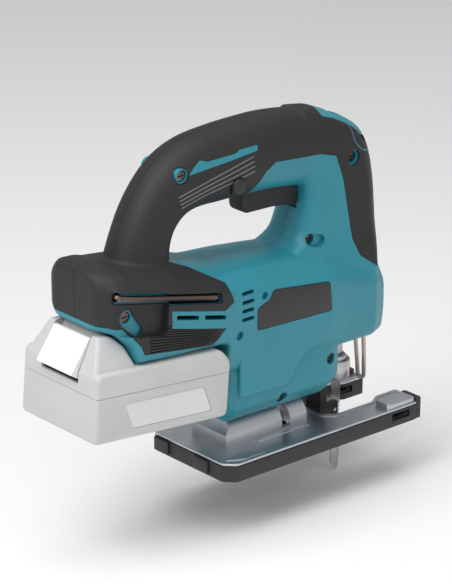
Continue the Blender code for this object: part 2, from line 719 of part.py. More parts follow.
def make_gear_train():
    """Crank gear on its shaft, its pin, and the gear housing that carries everything."""
    part(rod("X", (0, GEAR_Z), -12.8, GEAR_X[0] - GAP, 4.0, 16), "gear_shaft", (STEEL, 0.25, 1.0))
    turn = math.pi * 2 * (0.25 - 0.51 / GEAR_TEETH)
    gear = gear_blank(GEAR_TEETH, MODULE, GEAR_X[0], GEAR_X[1], 0, GEAR_Z, turn)
    part(gear, "crank_gear", (STEEL, 0.35, 1.0), (0, 0, GEAR_Z))
    pin = rod("X", (CRANK_R, GEAR_Z), GEAR_X[1] + GAP, YOKE_REAR - RUN_GAP, PIN_R, 16)
    part(pin, "crank_pin", (STEEL, 0.2, 1.0), (0, 0, GEAR_Z))
    bulkhead = [(-13, 66.5), (13, 66.5), (23, 76), (23, 114), (15, 124), (-15, 124), (-23, 114), (-23, 76)]
    frame = sheet("X", bulkhead, -11, -4.5)
    web = box((-6, 21.3, 77), (15, 23, 107))
    spine = box((10, 21.3, 77.5), (34, 22.7, 98))
    lower = box((YOKE_FRONT + RUN_GAP, -12, LOW_BUSH[0]), (38, 12, LOW_BUSH[1]))
    step = box((26, 10, 71.0), (34, 21.8, 80))
    link = box((-5.5, 12.5, GEAR_Z + 21.6), (16, 22.5, GEAR_Z + 27))
    arm = box((13, 12.4, GEAR_Z + 22), (37, 15.0, 139.5))
    upper = box((20, -11, HIGH_BUSH[0]), (38, 14.8, HIGH_BUSH[1]))
    frame = join(frame, web, spine, lower, step, link, arm, upper)
    frame = cut(frame, rod("X", (0, MOTOR_Z), -10.8, 0, 8 + GAP, 18), rod("X", (0, MOTOR_Z), -20, 0, 4, 14),
                rod("X", (0, GEAR_Z), -20, 0, 4 + GAP, 16), rod("Z", (BLADE_X, 0), 50, 80, BUSH_R + GAP,
                                                                20),
                rod("Z", (BLADE_X, 0), 120, 150, BUSH_R + GAP, 20))
    part(frame, "gear_housing", (ALUMINIUM, 0.5, 1.0))
    for name, (low, high) in (("lower_bush", LOW_BUSH), ("upper_bush", HIGH_BUSH)):
        ring = turned("Z", (BLADE_X, 0), [(BUSH_R, high), (BUSH_R, low), (PLUNGER_R + GAP, low),
                                          (PLUNGER_R + GAP, high)], 20)
        part(ring, name, (BRASS, 0.4, 1.0))


def make_plunger():
    """Plunger, crosshead, blade clamp, its sleeve and the blade."""
    line = (BLADE_X, 0)
    part(rod("Z", line, CLAMP_HIGH + GAP, 146, PLUNGER_R, 20), "plunger", (STEEL, 0.2, 1.0), (*line, 0))
    slot = PIN_R + 0.4
    yoke = [(-13, GEAR_Z - 6.5), (13, GEAR_Z - 6.5), (YOKE_HALF, GEAR_Z - 4.5), (YOKE_HALF, GEAR_Z + 5.5),
            (13, GEAR_Z + 8), (-13, GEAR_Z + 8), (-YOKE_HALF, GEAR_Z + 5.5), (-YOKE_HALF, GEAR_Z - 4.5)]
    head = join(sheet("X", yoke, YOKE_REAR, YOKE_FRONT),
                box((YOKE_FRONT - 1, -6, GEAR_Z + 1.2), (BLADE_X - PLUNGER_R - GAP, 6, GEAR_Z + 7.4)))
    head = cut(head, box((YOKE_REAR - 1, -CRANK_R - slot - 1, GEAR_Z - slot),
                         (YOKE_FRONT - 2.2, CRANK_R + slot + 1, GEAR_Z + slot)))
    part(head, "crosshead", (STEEL, 0.4, 1.0), (*line, 0))
    clamp = turned("Z", line, [(0, CLAMP_LOW), (CLAMP_R, CLAMP_LOW), (CLAMP_R, CLAMP_HIGH - 1.5),
                               (5.5, CLAMP_HIGH),
                               (0, CLAMP_HIGH)][::-1], 20)
    slot_half = BLADE_W / 2 + GAP
    clamp = cut(clamp, box((BLADE_X - slot_half, -BLADE_T / 2 - GAP, CLAMP_LOW - 1),
                           (BLADE_X + slot_half, BLADE_T / 2 + GAP, CLAMP_HIGH - 4)))
    part(clamp, "blade_clamp", (STEEL, 0.3, 1.0), (*line, 0))
    sleeve = turned("Z", line, [(SLEEVE_R, CLAMP_HIGH - 4), (SLEEVE_R, CLAMP_LOW + 2),
                                (CLAMP_R + GAP, CLAMP_LOW + 2),
                                (CLAMP_R + GAP, CLAMP_HIGH - 4)], 24)
    sleeve = join(sleeve, box((BLADE_X + CLAMP_R + 1, -1.5, CLAMP_LOW + 4), (BLADE_X + SLEEVE_R + 2.2, 1.5,
                                                                             CLAMP_HIGH - 8)))
    part(sleeve, "clamp_sleeve", (STEEL, 0.35, 1.0), (*line, 0))
    make_blade()


def make_blade():
    """The saw blade, with teeth to the front."""
    rear = BLADE_X - BLADE_W / 2
    front = BLADE_X + BLADE_W / 2
    top = CLAMP_HIGH - 4 - GAP
    teeth_top, pitch, depth = 8.0, 4.0, 1.4
    outline = [(rear, BLADE_TIP + 6), (rear, top), (front, top), (front, teeth_top + 2)]
    count = int((teeth_top - BLADE_TIP - 6) / pitch)
    for k in range(count):
        z = teeth_top - k * pitch
        outline += [(front, z), (front - depth, z - 0.8)]
    outline += [(front - 1.5, BLADE_TIP + 3), (front - 3.0, BLADE_TIP)]
    part(sheet("Y", outline[::-1], -BLADE_T / 2, BLADE_T / 2), "saw_blade", (STEEL, 0.3, 1.0),
         (BLADE_X, 0, 0))


# ---------------------------------------------------------------- blade support and guards

def make_support():
    """Orbital arm with its grooved roller, the dust seal, the guard and the levers."""
    centre_x = BLADE_X - BLADE_W / 2 - ROLLER_GROOVE - 0.3
    arm = join(box((9.5, -7, 4), (15.5, 7, 36)), box((9.5, 4.1, 4), (centre_x + 3.5, 7, 14)),
               box((9.5, -7, 4), (centre_x + 3.5, -4.1, 14)))
    arm = cut(arm, rod("Y", (centre_x, ROLLER_Z), -9, 9, 1.5 + GAP, 14))
    part(arm, "roller_holder", (BLACK_PLASTIC, 0.5, 0.0), (12.5, 0, 36))
    groove = BLADE_T / 2 + GAP
    roller = turned("Y", (centre_x, ROLLER_Z), [
        (1.5 + GAP, 3.6), (ROLLER_R, 3.6), (ROLLER_R, groove + 0.8), (ROLLER_GROOVE, groove),
        (ROLLER_GROOVE, -groove), (ROLLER_R, -groove - 0.8), (ROLLER_R, -3.6), (1.5 + GAP, -3.6)][::-1], 20)
    part(roller, "guide_roller", (STEEL, 0.3, 1.0), (centre_x, 0, ROLLER_Z))
    part(rod("Y", (centre_x, ROLLER_Z), -7.6, 7.6, 1.5, 14), "roller_pin", (STEEL, 0.25, 1.0))
    part(box((8.9, -9, 37), (17.5, 9, 58.5)), "dust_seal", (RUBBER, 0.8))
    points = [(50, 4.5, 66), (50.2, 4.5, 60), (51.5, 4.0, 48), (52.6, 3.4, 34), (53, 3.0, 25)]
    turn = [(53, 3.0 * math.cos(a), 25 - 3.0 * math.sin(a)) for a in (math.pi * k / 6 for k in range(1, 6))]
    loop = points + turn + [(x, -y, z) for x, y, z in reversed(points)]
    part(wire(loop, GUARD_R), "wire_guard", (STEEL, 0.3, 1.0))
    lever = join(rod("Z", (LEVER_X, LEVER_Y), 50, 59.4, 4.2, 16),
                 box((LEVER_X, LEVER_Y - 3, 52), (LEVER_X + 17, LEVER_Y + 2, 59.4)))
    lever = cut(lever, rod("Z", (LEVER_X, LEVER_Y), 49, 61, 2 + GAP, 14))
    part(lever, "release_lever", (BLACK_PLASTIC, 0.5), (LEVER_X, LEVER_Y, 55))
    part(rod("Z", (LEVER_X, LEVER_Y), 49.5, 58.4, 2, 14), "lever_pin", (STEEL, 0.25, 1.0))
    knob = turned("Y", (SELECTOR_X, SELECTOR_Z), [(0, BODY_HALF + 5), (7.5, BODY_HALF + 5),
                                                  (8.5, BODY_HALF + 1),
                                                  (3, BODY_HALF + 1), (3, 24), (0, 24)], 18)
    knob = join(knob, box((SELECTOR_X, BODY_HALF + 1.5, SELECTOR_Z - 3), (SELECTOR_X + 16, BODY_HALF + 4.5,
                                                                           SELECTOR_Z + 3)))
    part(knob, "orbital_selector", (BLACK_PLASTIC, 0.5), (SELECTOR_X, BODY_HALF, SELECTOR_Z))


# ---------------------------------------------------------------- the base

def base_outline(inset):
    """Plan outline of the base, with the opening round the blade."""
    corner = 7.0
    rear, front, half = BASE_REAR + inset, BASE_FRONT - inset, BASE_HALF - inset
    slot, mouth = SLOT_HALF + inset, SLOT_MOUTH + inset
    side = [(rear, half - corner), (rear + corner, half), (front - 4, half), (front, half - 4),
            (front, mouth),
            (52, mouth), (44, slot), (10 - inset, slot), (4 - inset, slot - 7)]
    return side + [(x, -y) for x, y in reversed(side)]


def make_base():
    """Aluminium plate with its saddle, the cover under it and the bolt that holds it."""
    lip_low = BASE_TOP - 1.6
    plate = join(sheet("Z", base_outline(0.0), lip_low, BASE_TOP),
                 sheet("Z", base_outline(COVER_WALL + GAP), COVER_WALL + GAP, lip_low + 0.4))
    pocket = sheet("Z", base_outline(COVER_WALL + GAP + 3.0), 0, BASE_TOP - PLATE_THICK)
    plate = cut(plate, pocket)
    saddle = rod("X", (0, TILT_Z), SADDLE_REAR, SADDLE_FRONT, SADDLE_R, 40)
    saddle = keep_inside(saddle, box((SADDLE_REAR - 1, -17, BASE_TOP - 2), (SADDLE_FRONT + 1, 17, 60)))
    plate = join(plate, saddle)
    bore = rod("X", (0, TILT_Z), SADDLE_REAR + 6, SADDLE_FRONT - 6, SADDLE_BORE, 32)
    well = box((SADDLE_REAR + 6, -SADDLE_BORE, -5), (SADDLE_FRONT - 6, SADDLE_BORE, TILT_Z))
    slot = box((BOLT_X - BOLT_R - RUN_GAP, -30, BASE_TOP + 1), (BOLT_X + BOLT_R + RUN_GAP, 30, 60))
    x0, x1, z0, z1 = FENCE_SLOT
    fence = box((x0, -60, z0), (x1, 60, z1))
    plate = cut(plate, join(bore, copy_of(well)), slot, copy_of(fence))
    part(plate, "base_plate", (ALUMINIUM, 0.4, 1.0), (0, 0, TILT_Z))
    cover = sheet("Z", base_outline(0.0), 0, lip_low - GAP)
    tray = sheet("Z", base_outline(COVER_WALL), COVER_WALL, BASE_TOP + 5)
    cover = cut(cover, tray, fence, well)
    part(cover, "base_cover", (BLACK_PLASTIC, 0.6), (0, 0, TILT_Z))
    head = turned("Z", (BOLT_X, 0), [(0, 22), (5, 22), (5, 26.4), (BOLT_R, 26.4), (BOLT_R, 44),
                                     (0, 44.5)][::-1],
                  16)
    head = cut(head, rod("Z", (BOLT_X, 0), 20, 24.5, 2.3, 6))
    part(head, "base_bolt", (DARK_STEEL, 0.35, 1.0))
    nut = cut(rod("Z", (BOLT_X, 0), BOTTOM_Z + WALL + GAP + 1, BOTTOM_Z + WALL + 7, 6.5, 6),
              rod("Z", (BOLT_X, 0), 20, 60, BOLT_R + GAP, 16))
    part(nut, "clamp_nut", (STEEL, 0.3, 1.0))


# ---------------------------------------------------------------- controls and electrics

def make_controls():
    """Trigger, lock-off button, switch, terminals, board and lamp."""
    profile = [(-60, 185), (-60, 171), (-59, 167.5), (-56, 165.2), (-46, 165), (-34, 164.8), (-22, 163.4),
               (-13, 161.4), (-12.4, 164), (-12.4, 185)]
    part(sheet("Y", profile, -TRIGGER_HALF, TRIGGER_HALF), "trigger", (RUBBER, 0.6), (-40, 0, 175))
    part(box((-58, -10.5, 185 + TRIGGER_TRAVEL + 1.5), (-12, 10.5, 213)), "switch_body",
         (BLACK_PLASTIC, 0.5))
    reach = HANDLE_HALF + 1.6
    button = turned("Y", (LOCK_X, LOCK_Z), [(0, reach), (LOCK_R - 0.8, reach), (LOCK_R, reach - 1),
                                            (LOCK_R, 13),
                                            (2.6, 13), (2.6, -13), (LOCK_R, -13), (LOCK_R, 1 - reach),
                                            (LOCK_R - 0.8, -reach), (0, -reach)], 20)
    part(button, "lock_off_button", (BLACK_PLASTIC, 0.5), (LOCK_X, 0, LOCK_Z))
    part(box((-158, -18, 119), (-116, 18, 121.4)), "controller_board", ((0.02, 0.12, 0.05), 0.6))
    part(box((-150, -15, 125), (-124, 15, 134)), "terminal_block", (BLACK_PLASTIC, 0.5))
    lamp = turned("X", (-14, 50), [(0, 9.4), (2.6, 9.4), (3.2, 8.6), (3.2, 3), (0, 3)], 14)
    part(lamp, "work_lamp", (GLASS, 0.15))


def make_wrench():
    """The hex key in its channel on the right side."""
    x, z = WRENCH_REAR
    turn = [(x, -8, z), (x, -26, z), (x + 0.5, -29.5, z), (x + 2.2, -32, z - 0.5), (x + 6, -33, z - 1.4)]
    part(wire(turn + [(WRENCH_FRONT[0], -33, WRENCH_FRONT[1])], 2.0, 1), "hex_wrench",
         (DARK_STEEL, 0.4, 1.0),
         (x, -8, z))


# ---------------------------------------------------------------- the battery

def make_battery():
    """Battery cases, cells and release button."""
    def slab(s0, s1, h0, h1, half):
        return sheet("Y", [tilted(p) for p in ((s0, h0), (s1, h0), (s1, h1), (s0, h1))], -half, half)

    lower = cut(slab(0, PACK_LENGTH, 0, PACK_SPLIT, PACK_HALF),
                slab(PACK_WALL, PACK_LENGTH - PACK_WALL, PACK_WALL, PACK_SPLIT + 5, PACK_HALF - PACK_WALL))
    part(lower, "battery_case_lower", (GREY_PLASTIC, 0.5))
    upper = cut(slab(0, PACK_LENGTH, PACK_SPLIT + GAP, PACK_HEIGHT, PACK_HALF),
                slab(PACK_WALL, PACK_LENGTH - PACK_WALL, PACK_SPLIT - 2, PACK_HEIGHT - PACK_WALL,
                     PACK_HALF - PACK_WALL))
    hump = sheet("Y", [tilted(p) for p in [(0, PACK_HEIGHT - 4), *HUMP[:-1], (34.0, PACK_HEIGHT - 1)]],
                 -HUMP_HALF,
                 HUMP_HALF)
    wide = tongue_bar(TONGUE_HALF, 30.0, PACK_LENGTH - 4.0, TONGUE_LIP, TONGUE_HEIGHT)
    neck = tongue_bar(TONGUE_NECK, 30.0, PACK_LENGTH - 4.0, -1.0, TONGUE_LIP + 0.5)
    upper = join(upper, hump, neck, wide)
    button_pocket = [(-8, 35.5), (7.5, 70), (17, 66), (4.5, 35.5)]
    upper = cut(upper, sheet("Y", [tilted(p) for p in button_pocket], -18.4, 18.4))
    part(upper, "battery_case_upper", (GREY_PLASTIC, 0.5))
    key = [(-5.5, 41), (-2.2, 40.6), (-1.0, 38.6), (1.6, 38.4), (9.9, 63), (7.4, 63)]
    part(sheet("Y", [tilted(p) for p in key], -17.6, 17.6), "battery_button", (WHITE, 0.5))
    cells = []
    count, pitch, bulge = 5, 19.6, 1.9
    for k in range(count):
        s = 6.0 + pitch * k
        cells += [(s + 1, 4.6 + bulge), (s + 5.5, 4.6), (s + pitch - 5.5, 4.6),
                  (s + pitch - 1, 4.6 + bulge)]
    top = [(s, 46.0 - h) for s, h in reversed(cells)]
    part(sheet("Y", [tilted(p) for p in cells + top], -32.5, 32.5), "cell_block", ((0.1, 0.25, 0.12), 0.5))


def main():
    """Builds the whole tool."""
    start_scene()
    make_housing()
    make_screws()
    make_label()
    make_motor()
    make_gear_train()
    make_plunger()
    make_support()
    make_base()
    make_controls()
    make_wrench()
    make_battery()
    for left in list(bpy.data.collections["cutters"].objects):
        bpy.data.objects.remove(left, do_unlink=True)


main()
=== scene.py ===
"""The looks of a cordless jigsaw: shells, soft grips, base, blade gear and battery, on the fixed frame."""

from __future__ import annotations

import json
import logging
import math
from dataclasses import dataclass, field
from enum import Enum

import bmesh
import bpy
from mathutils import Matrix, Vector

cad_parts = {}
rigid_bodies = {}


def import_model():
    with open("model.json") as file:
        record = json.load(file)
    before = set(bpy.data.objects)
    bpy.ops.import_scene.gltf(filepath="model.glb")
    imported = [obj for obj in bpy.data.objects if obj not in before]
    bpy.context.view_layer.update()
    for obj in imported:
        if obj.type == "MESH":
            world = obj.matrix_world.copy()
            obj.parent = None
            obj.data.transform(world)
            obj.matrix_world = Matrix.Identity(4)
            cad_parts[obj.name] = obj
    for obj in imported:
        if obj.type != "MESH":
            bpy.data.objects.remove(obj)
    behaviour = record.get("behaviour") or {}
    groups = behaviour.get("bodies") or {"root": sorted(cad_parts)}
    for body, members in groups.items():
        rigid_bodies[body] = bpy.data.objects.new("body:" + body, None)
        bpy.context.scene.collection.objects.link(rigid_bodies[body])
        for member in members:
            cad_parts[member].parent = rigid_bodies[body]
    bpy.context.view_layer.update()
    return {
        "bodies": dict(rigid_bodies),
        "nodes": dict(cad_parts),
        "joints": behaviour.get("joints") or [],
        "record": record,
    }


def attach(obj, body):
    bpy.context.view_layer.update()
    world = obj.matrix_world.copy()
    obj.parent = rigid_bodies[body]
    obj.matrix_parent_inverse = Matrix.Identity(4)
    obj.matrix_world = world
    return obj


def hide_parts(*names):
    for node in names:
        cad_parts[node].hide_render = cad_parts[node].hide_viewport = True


LOG = logging.getLogger("jigsaw")
MM = 0.001
GAP = 0.3          # between pieces that only just touch
RUN_GAP = 0.5      # between pieces that move past each other
TILT_Z = 14.0      # the bevel axis above the sole
GRIP_CUT = 5.2     # opening in the soft grip round a screw
BOSS_R = 4.6
HEAD_WAY = 3.9     # way for a screw's head
SHANK_WAY = 2.1    # way for a screw's shank
LOCK_WAY = 6.0     # way for the lock-off button
KEY_WAY = 3.2      # way for the hex key's short leg
TRIGGER_HALF = 6.5
Point2 = tuple[float, float]
Solid = bpy.types.Object
Point3 = tuple[float, float, float]


class Axis(Enum):
    """The world axis that a sheet or rod is built along."""

    X = "X"
    Y = "Y"
    Z = "Z"


class Cut(Enum):
    """How one solid acts on another."""

    JOIN = "UNION"
    REMOVE = "DIFFERENCE"
    KEEP = "INTERSECT"


# ---------------------------------------------------------------- making solids

def to_object(bm: bmesh.types.BMesh, name: str = "work") -> Solid:
    """Turns a bmesh into an object at the origin, with its faces pointing out.

    Args:
        bm: the finished bmesh, which is freed.
        name: the object's name.

    Returns:
        The new object.
    """
    bmesh.ops.remove_doubles(bm, verts=bm.verts, dist=1e-6)
    bmesh.ops.recalc_face_normals(bm, faces=bm.faces)
    mesh = bpy.data.meshes.new(name)
    bm.to_mesh(mesh)
    bm.free()
    obj = bpy.data.objects.new(name, mesh)
    bpy.context.scene.collection.objects.link(obj)
    return obj


def bake(obj: Solid) -> Solid:
    """Applies an object's modifiers and transform to its mesh, and returns it at the origin."""
    bpy.context.view_layer.update()
    graph = bpy.context.evaluated_depsgraph_get()
    mesh = bpy.data.meshes.new_from_object(obj.evaluated_get(graph))
    mesh.transform(obj.matrix_world)
    name = obj.name
    bpy.data.objects.remove(obj, do_unlink=True)
    made = bpy.data.objects.new(name, mesh)
    bpy.context.scene.collection.objects.link(made)
    return made


def copied(obj: Solid) -> Solid:
    """A second object with its own copy of the mesh."""
    made = bpy.data.objects.new(obj.name, obj.data.copy())
    bpy.context.scene.collection.objects.link(made)
    return made


def drop(*objs: Solid) -> None:
    """Removes working objects."""
    for obj in objs:
        bpy.data.objects.remove(obj, do_unlink=True)


def act(piece: Solid, tool: Solid, how: Cut, keep: bool = False) -> Solid:
    """Joins, removes or intersects a solid with a tool.

    Args:
        piece: the solid to change.
        tool: the solid that acts on it.
        how: the action.
        keep: whether the tool is used again later.

    Returns:
        The changed solid.
    """
    step = piece.modifiers.new("act", "BOOLEAN")
    step.operation = how.value
    step.solver = "MANIFOLD"
    step.object = tool
    before = len(piece.data.polygons)
    made = bake(piece)
    if before and not len(made.data.polygons):
        LOG.warning("the %s of %s left nothing", how.name, tool.name)
    if not keep:
        drop(tool)
    return made


def minus(piece: Solid, *tools: Solid) -> Solid:
    """A solid with tools removed from it."""
    for tool in tools:
        piece = act(piece, tool, Cut.REMOVE)
    return piece


def plus(piece: Solid, *tools: Solid) -> Solid:
    """A solid joined with tools."""
    for tool in tools:
        piece = act(piece, tool, Cut.JOIN)
    return piece


def rounded(corners: list[Point2], reach: float, steps: int = 4) -> list[Point2]:
    """Rounds the corners of a closed outline.

    Args:
        corners: the outline's corners.
        reach: how far from each corner its curve starts.
        steps: pieces in each curve.

    Returns:
        The rounded outline.
    """
    points: list[Point2] = []
    for i, corner in enumerate(corners):
        here = Vector(corner)
        before, after = Vector(corners[i - 1]) - here, Vector(corners[(i + 1) % len(corners)]) - here
        start = here + before * min(reach / before.length, 0.45)
        end = here + after * min(reach / after.length, 0.45)
        for k in range(steps + 1):
            t = k / steps
            points.append(tuple(start * (1 - t) ** 2 + here * 2 * t * (1 - t) + end * t ** 2))
    return points


def spline(rows: list[list[float]], steps: int) -> list[list[float]]:
    """Passes a smooth curve through rows of numbers (Catmull-Rom), with steps rows for each gap."""
    made = []
    for i in range(len(rows) - 1):
        a, b, c, d = (rows[min(max(i + k, 0), len(rows) - 1)] for k in (-1, 0, 1, 2))
        for k in range(steps):
            t = k / steps
            made.append([0.5 * (2 * q + (r - p) * t + (2 * p - 5 * q + 4 * r - s) * t * t
                                + (3 * q - p - 3 * r + s) * t ** 3) for p, q, r, s in zip(a, b, c, d)])
    made.append(list(rows[-1]))
    return made


def slab(axis: Axis, outline: list[Point2], start: float, end: float, edge: float = 0.0) -> Solid:
    """A flat outline made solid along an axis.

    Args:
        axis: the axis it is extruded along; the outline gives the other two coordinates in axis order.
        outline: the corners in millimetres.
        start: where it starts along the axis.
        end: where it ends.
        edge: radius of the rounding of both rims.

    Returns:
        The solid.
    """
    place = {Axis.X: lambda u, v: (start, u, v), Axis.Y: lambda u, v: (u, start, v),
             Axis.Z: lambda u, v: (u, v, start)}[axis]
    along = {Axis.X: (1, 0, 0), Axis.Y: (0, 1, 0), Axis.Z: (0, 0, 1)}[axis]
    bm = bmesh.new()
    face = bm.faces.new([bm.verts.new(Vector(place(u, v)) * MM) for u, v in outline])
    grown = bmesh.ops.extrude_face_region(bm, geom=[face])["geom"]
    moved = [item for item in grown if isinstance(item, bmesh.types.BMVert)]
    bmesh.ops.translate(bm, vec=Vector(along) * (end - start) * MM, verts=moved)
    bmesh.ops.recalc_face_normals(bm, faces=bm.faces)
    if edge > 0:
        rims = [e for e in bm.edges if e.is_manifold and abs(sum(
            (e.verts[0].co[k] - e.verts[1].co[k]) * along[k] for k in range(3))) < 1e-7]
        bmesh.ops.bevel(bm, geom=rims, offset=edge * MM, segments=3, profile=0.5, affect="EDGES",
                        material=-1,
                        clamp_overlap=True)
    return to_object(bm)


def block(low: Point3, high: Point3, edge: float = 0.0) -> Solid:
    """A box between two corners, with an optional rounding."""
    bm = bmesh.new()
    bmesh.ops.create_cube(bm, size=1.0)
    bmesh.ops.scale(bm, vec=[(b - a) * MM for a, b in zip(low, high)], verts=bm.verts)
    bmesh.ops.translate(bm, vec=[(a + b) / 2 * MM for a, b in zip(low, high)], verts=bm.verts)
    if edge > 0:
        bmesh.ops.bevel(bm, geom=bm.edges[:], offset=edge * MM, segments=3, profile=0.5, affect="EDGES",
                        material=-1, clamp_overlap=True)
    return to_object(bm)


TURNS = {Axis.X: Matrix.Rotation(math.pi / 2, 4, "Y"), Axis.Y: Matrix.Rotation(-math.pi / 2, 4, "X"),
         Axis.Z: Matrix()}


def placed(axis: Axis, centre: Point2, along: float) -> Vector:
    """A point from its two cross coordinates and its place along an axis, in metres."""
    a, b = centre
    return Vector({Axis.X: (along, a, b), Axis.Y: (a, along, b), Axis.Z: (a, b, along)}[axis]) * MM


def rod(axis: Axis, centre: Point2, start: float, end: float, radius: float,
        sides: int = 48) -> Solid:
    """A cylinder along an axis."""
    bm = bmesh.new()
    bmesh.ops.create_cone(bm, cap_ends=True, segments=sides, radius1=radius * MM, radius2=radius * MM,
                          depth=(end - start) * MM)
    bmesh.ops.transform(bm, matrix=TURNS[axis], verts=bm.verts)
    bmesh.ops.translate(bm, vec=placed(axis, centre, (start + end) / 2), verts=bm.verts)
    return to_object(bm)


def loft(rings: list[list[Point3]]) -> Solid:
    """A closed skin bridged over rings with the same number of points."""
    bm = bmesh.new()
    loops = []
    for ring in rings:
        verts = [bm.verts.new(Vector(point) * MM) for point in ring]
        loops.append([bm.edges.new((verts[i], verts[(i + 1) % len(verts)])) for i in range(len(verts))])
    for low, high in zip(loops, loops[1:]):
        bmesh.ops.bridge_loops(bm, edges=low + high)
    bmesh.ops.holes_fill(bm, edges=loops[0] + loops[-1], sides=0)
    return to_object(bm)


def melted(parts: list[Solid], grain: float, passes: int) -> Solid:
    """Melts overlapping solids into one moulded form with soft fillets.

    Args:
        parts: closed solids, which are used up.
        grain: the size of the new surface's cells.
        passes: how many times it is smoothed.

    Returns:
        The melted solid.
    """
    bm = bmesh.new()
    for part in parts:
        bm.from_mesh(part.data)
    drop(*parts)
    made = to_object(bm)
    remesh = made.modifiers.new("melt", "REMESH")
    remesh.mode = "VOXEL"
    remesh.voxel_size = grain * MM
    remesh.adaptivity = 0.0
    soft = made.modifiers.new("soften", "SMOOTH")
    soft.factor = 0.5
    soft.iterations = passes
    return bake(made)


def wire(points: list[Point3], radius: float, resolution: int = 4, smooth: int = 6) -> Solid:
    """A bent bar through points.

    Args:
        points: the bar's centre line.
        radius: its radius.
        resolution: 1 gives a six-sided bar, more a round one.
        smooth: steps of smooth curve between two points.

    Returns:
        The solid.
    """
    curve = bpy.data.curves.new("wire", "CURVE")
    curve.dimensions = "3D"
    curve.bevel_depth = radius * MM
    curve.bevel_resolution = resolution
    curve.use_fill_caps = True
    line = curve.splines.new("POLY")
    rows = spline([list(p) for p in points], smooth)
    line.points.add(len(rows) - 1)
    for point, place in zip(line.points, rows):
        point.co = (*(Vector(place) * MM), 1.0)
    obj = bpy.data.objects.new("wire", curve)
    bpy.context.scene.collection.objects.link(obj)
    made = bake(obj)
    bm = bmesh.new()
    bm.from_mesh(made.data)
    drop(made)
    return to_object(bm)


def half_of(piece: Solid, side: int) -> Solid:
    """The part of a solid on one side of the parting plane, closed where it was split."""
    far = 400.0
    low = (-far, GAP / 2, -far) if side > 0 else (-far, -far, -far)
    high = (far, far, far) if side > 0 else (far, -GAP / 2, far)
    return act(copied(piece), block(low, high), Cut.KEEP)


# ---------------------------------------------------------------- finishes

def socket(tree: bpy.types.NodeTree, name: str, way: str, kind: str, value: float | None = None) -> None:
    """Adds a named input or output to a node group."""
    made = tree.interface.new_socket(name=name, in_out=way, socket_type=kind)
    if value is not None:
        made.default_value = value


@dataclass(frozen=True)
class Effects:
    """The shader groups that several finishes share."""

    grain: bpy.types.NodeTree
    mottle: bpy.types.NodeTree
    wear: bpy.types.NodeTree

    @classmethod
    def build(cls) -> "Effects":
        """Makes the three groups once."""
        return cls(cls._grain(), cls._mottle(), cls._wear())

    @staticmethod
    def _grain() -> bpy.types.NodeTree:
        """Spark-eroded or blasted grain: a fine height field."""
        tree = bpy.data.node_groups.new("fine_grain", "ShaderNodeTree")
        socket(tree, "Scale", "INPUT", "NodeSocketFloat", 1500.0)
        socket(tree, "Coarse", "INPUT", "NodeSocketFloat", 0.3)
        socket(tree, "Height", "OUTPUT", "NodeSocketFloat")
        start, end = tree.nodes.new("NodeGroupInput"), tree.nodes.new("NodeGroupOutput")
        place = tree.nodes.new("ShaderNodeTexCoord")
        fine, pits, mix = (tree.nodes.new(k) for k in ("ShaderNodeTexNoise", "ShaderNodeTexVoronoi",
                                                       "ShaderNodeMix"))
        fine.inputs["Detail"].default_value = 3.0
        for node in (fine, pits):
            tree.links.new(place.outputs["Object"], node.inputs["Vector"])
            tree.links.new(start.outputs["Scale"], node.inputs["Scale"])
        tree.links.new(start.outputs["Coarse"], mix.inputs["Factor"])
        tree.links.new(fine.outputs["Fac"], mix.inputs["A"])
        tree.links.new(pits.outputs["Distance"], mix.inputs["B"])
        tree.links.new(mix.outputs["Result"], end.inputs["Height"])
        return tree

    @staticmethod
    def _mottle() -> bpy.types.NodeTree:
        """Slow handling marks and uneven sheen, as a mask from 0 to 1."""
        tree = bpy.data.node_groups.new("handling_mottle", "ShaderNodeTree")
        socket(tree, "Scale", "INPUT", "NodeSocketFloat", 40.0)
        socket(tree, "Mask", "OUTPUT", "NodeSocketFloat")
        start, end = tree.nodes.new("NodeGroupInput"), tree.nodes.new("NodeGroupOutput")
        place, cloud, curve = (tree.nodes.new(k) for k in ("ShaderNodeTexCoord", "ShaderNodeTexNoise",
                                                           "ShaderNodeMapRange"))
        cloud.inputs["Detail"].default_value = 6.0
        curve.inputs["From Min"].default_value, curve.inputs["From Max"].default_value = 0.3, 0.7
        tree.links.new(place.outputs["Object"], cloud.inputs["Vector"])
        tree.links.new(start.outputs["Scale"], cloud.inputs["Scale"])
        tree.links.new(cloud.outputs["Fac"], curve.inputs["Value"])
        tree.links.new(curve.outputs["Result"], end.inputs["Mask"])
        return tree

    @staticmethod
    def _wear() -> bpy.types.NodeTree:
        """Rubbed outer edges, as a mask that is 1 where an edge stands proud."""
        tree = bpy.data.node_groups.new("edge_wear", "ShaderNodeTree")
        socket(tree, "Reach", "INPUT", "NodeSocketFloat", 0.56)
        socket(tree, "Mask", "OUTPUT", "NodeSocketFloat")
        start, end = tree.nodes.new("NodeGroupInput"), tree.nodes.new("NodeGroupOutput")
        shape, curve = tree.nodes.new("ShaderNodeNewGeometry"), tree.nodes.new("ShaderNodeMapRange")
        curve.inputs["From Max"].default_value = 0.7
        tree.links.new(shape.outputs["Pointiness"], curve.inputs["Value"])
        tree.links.new(start.outputs["Reach"], curve.inputs["From Min"])
        tree.links.new(curve.outputs["Result"], end.inputs["Mask"])
        return tree


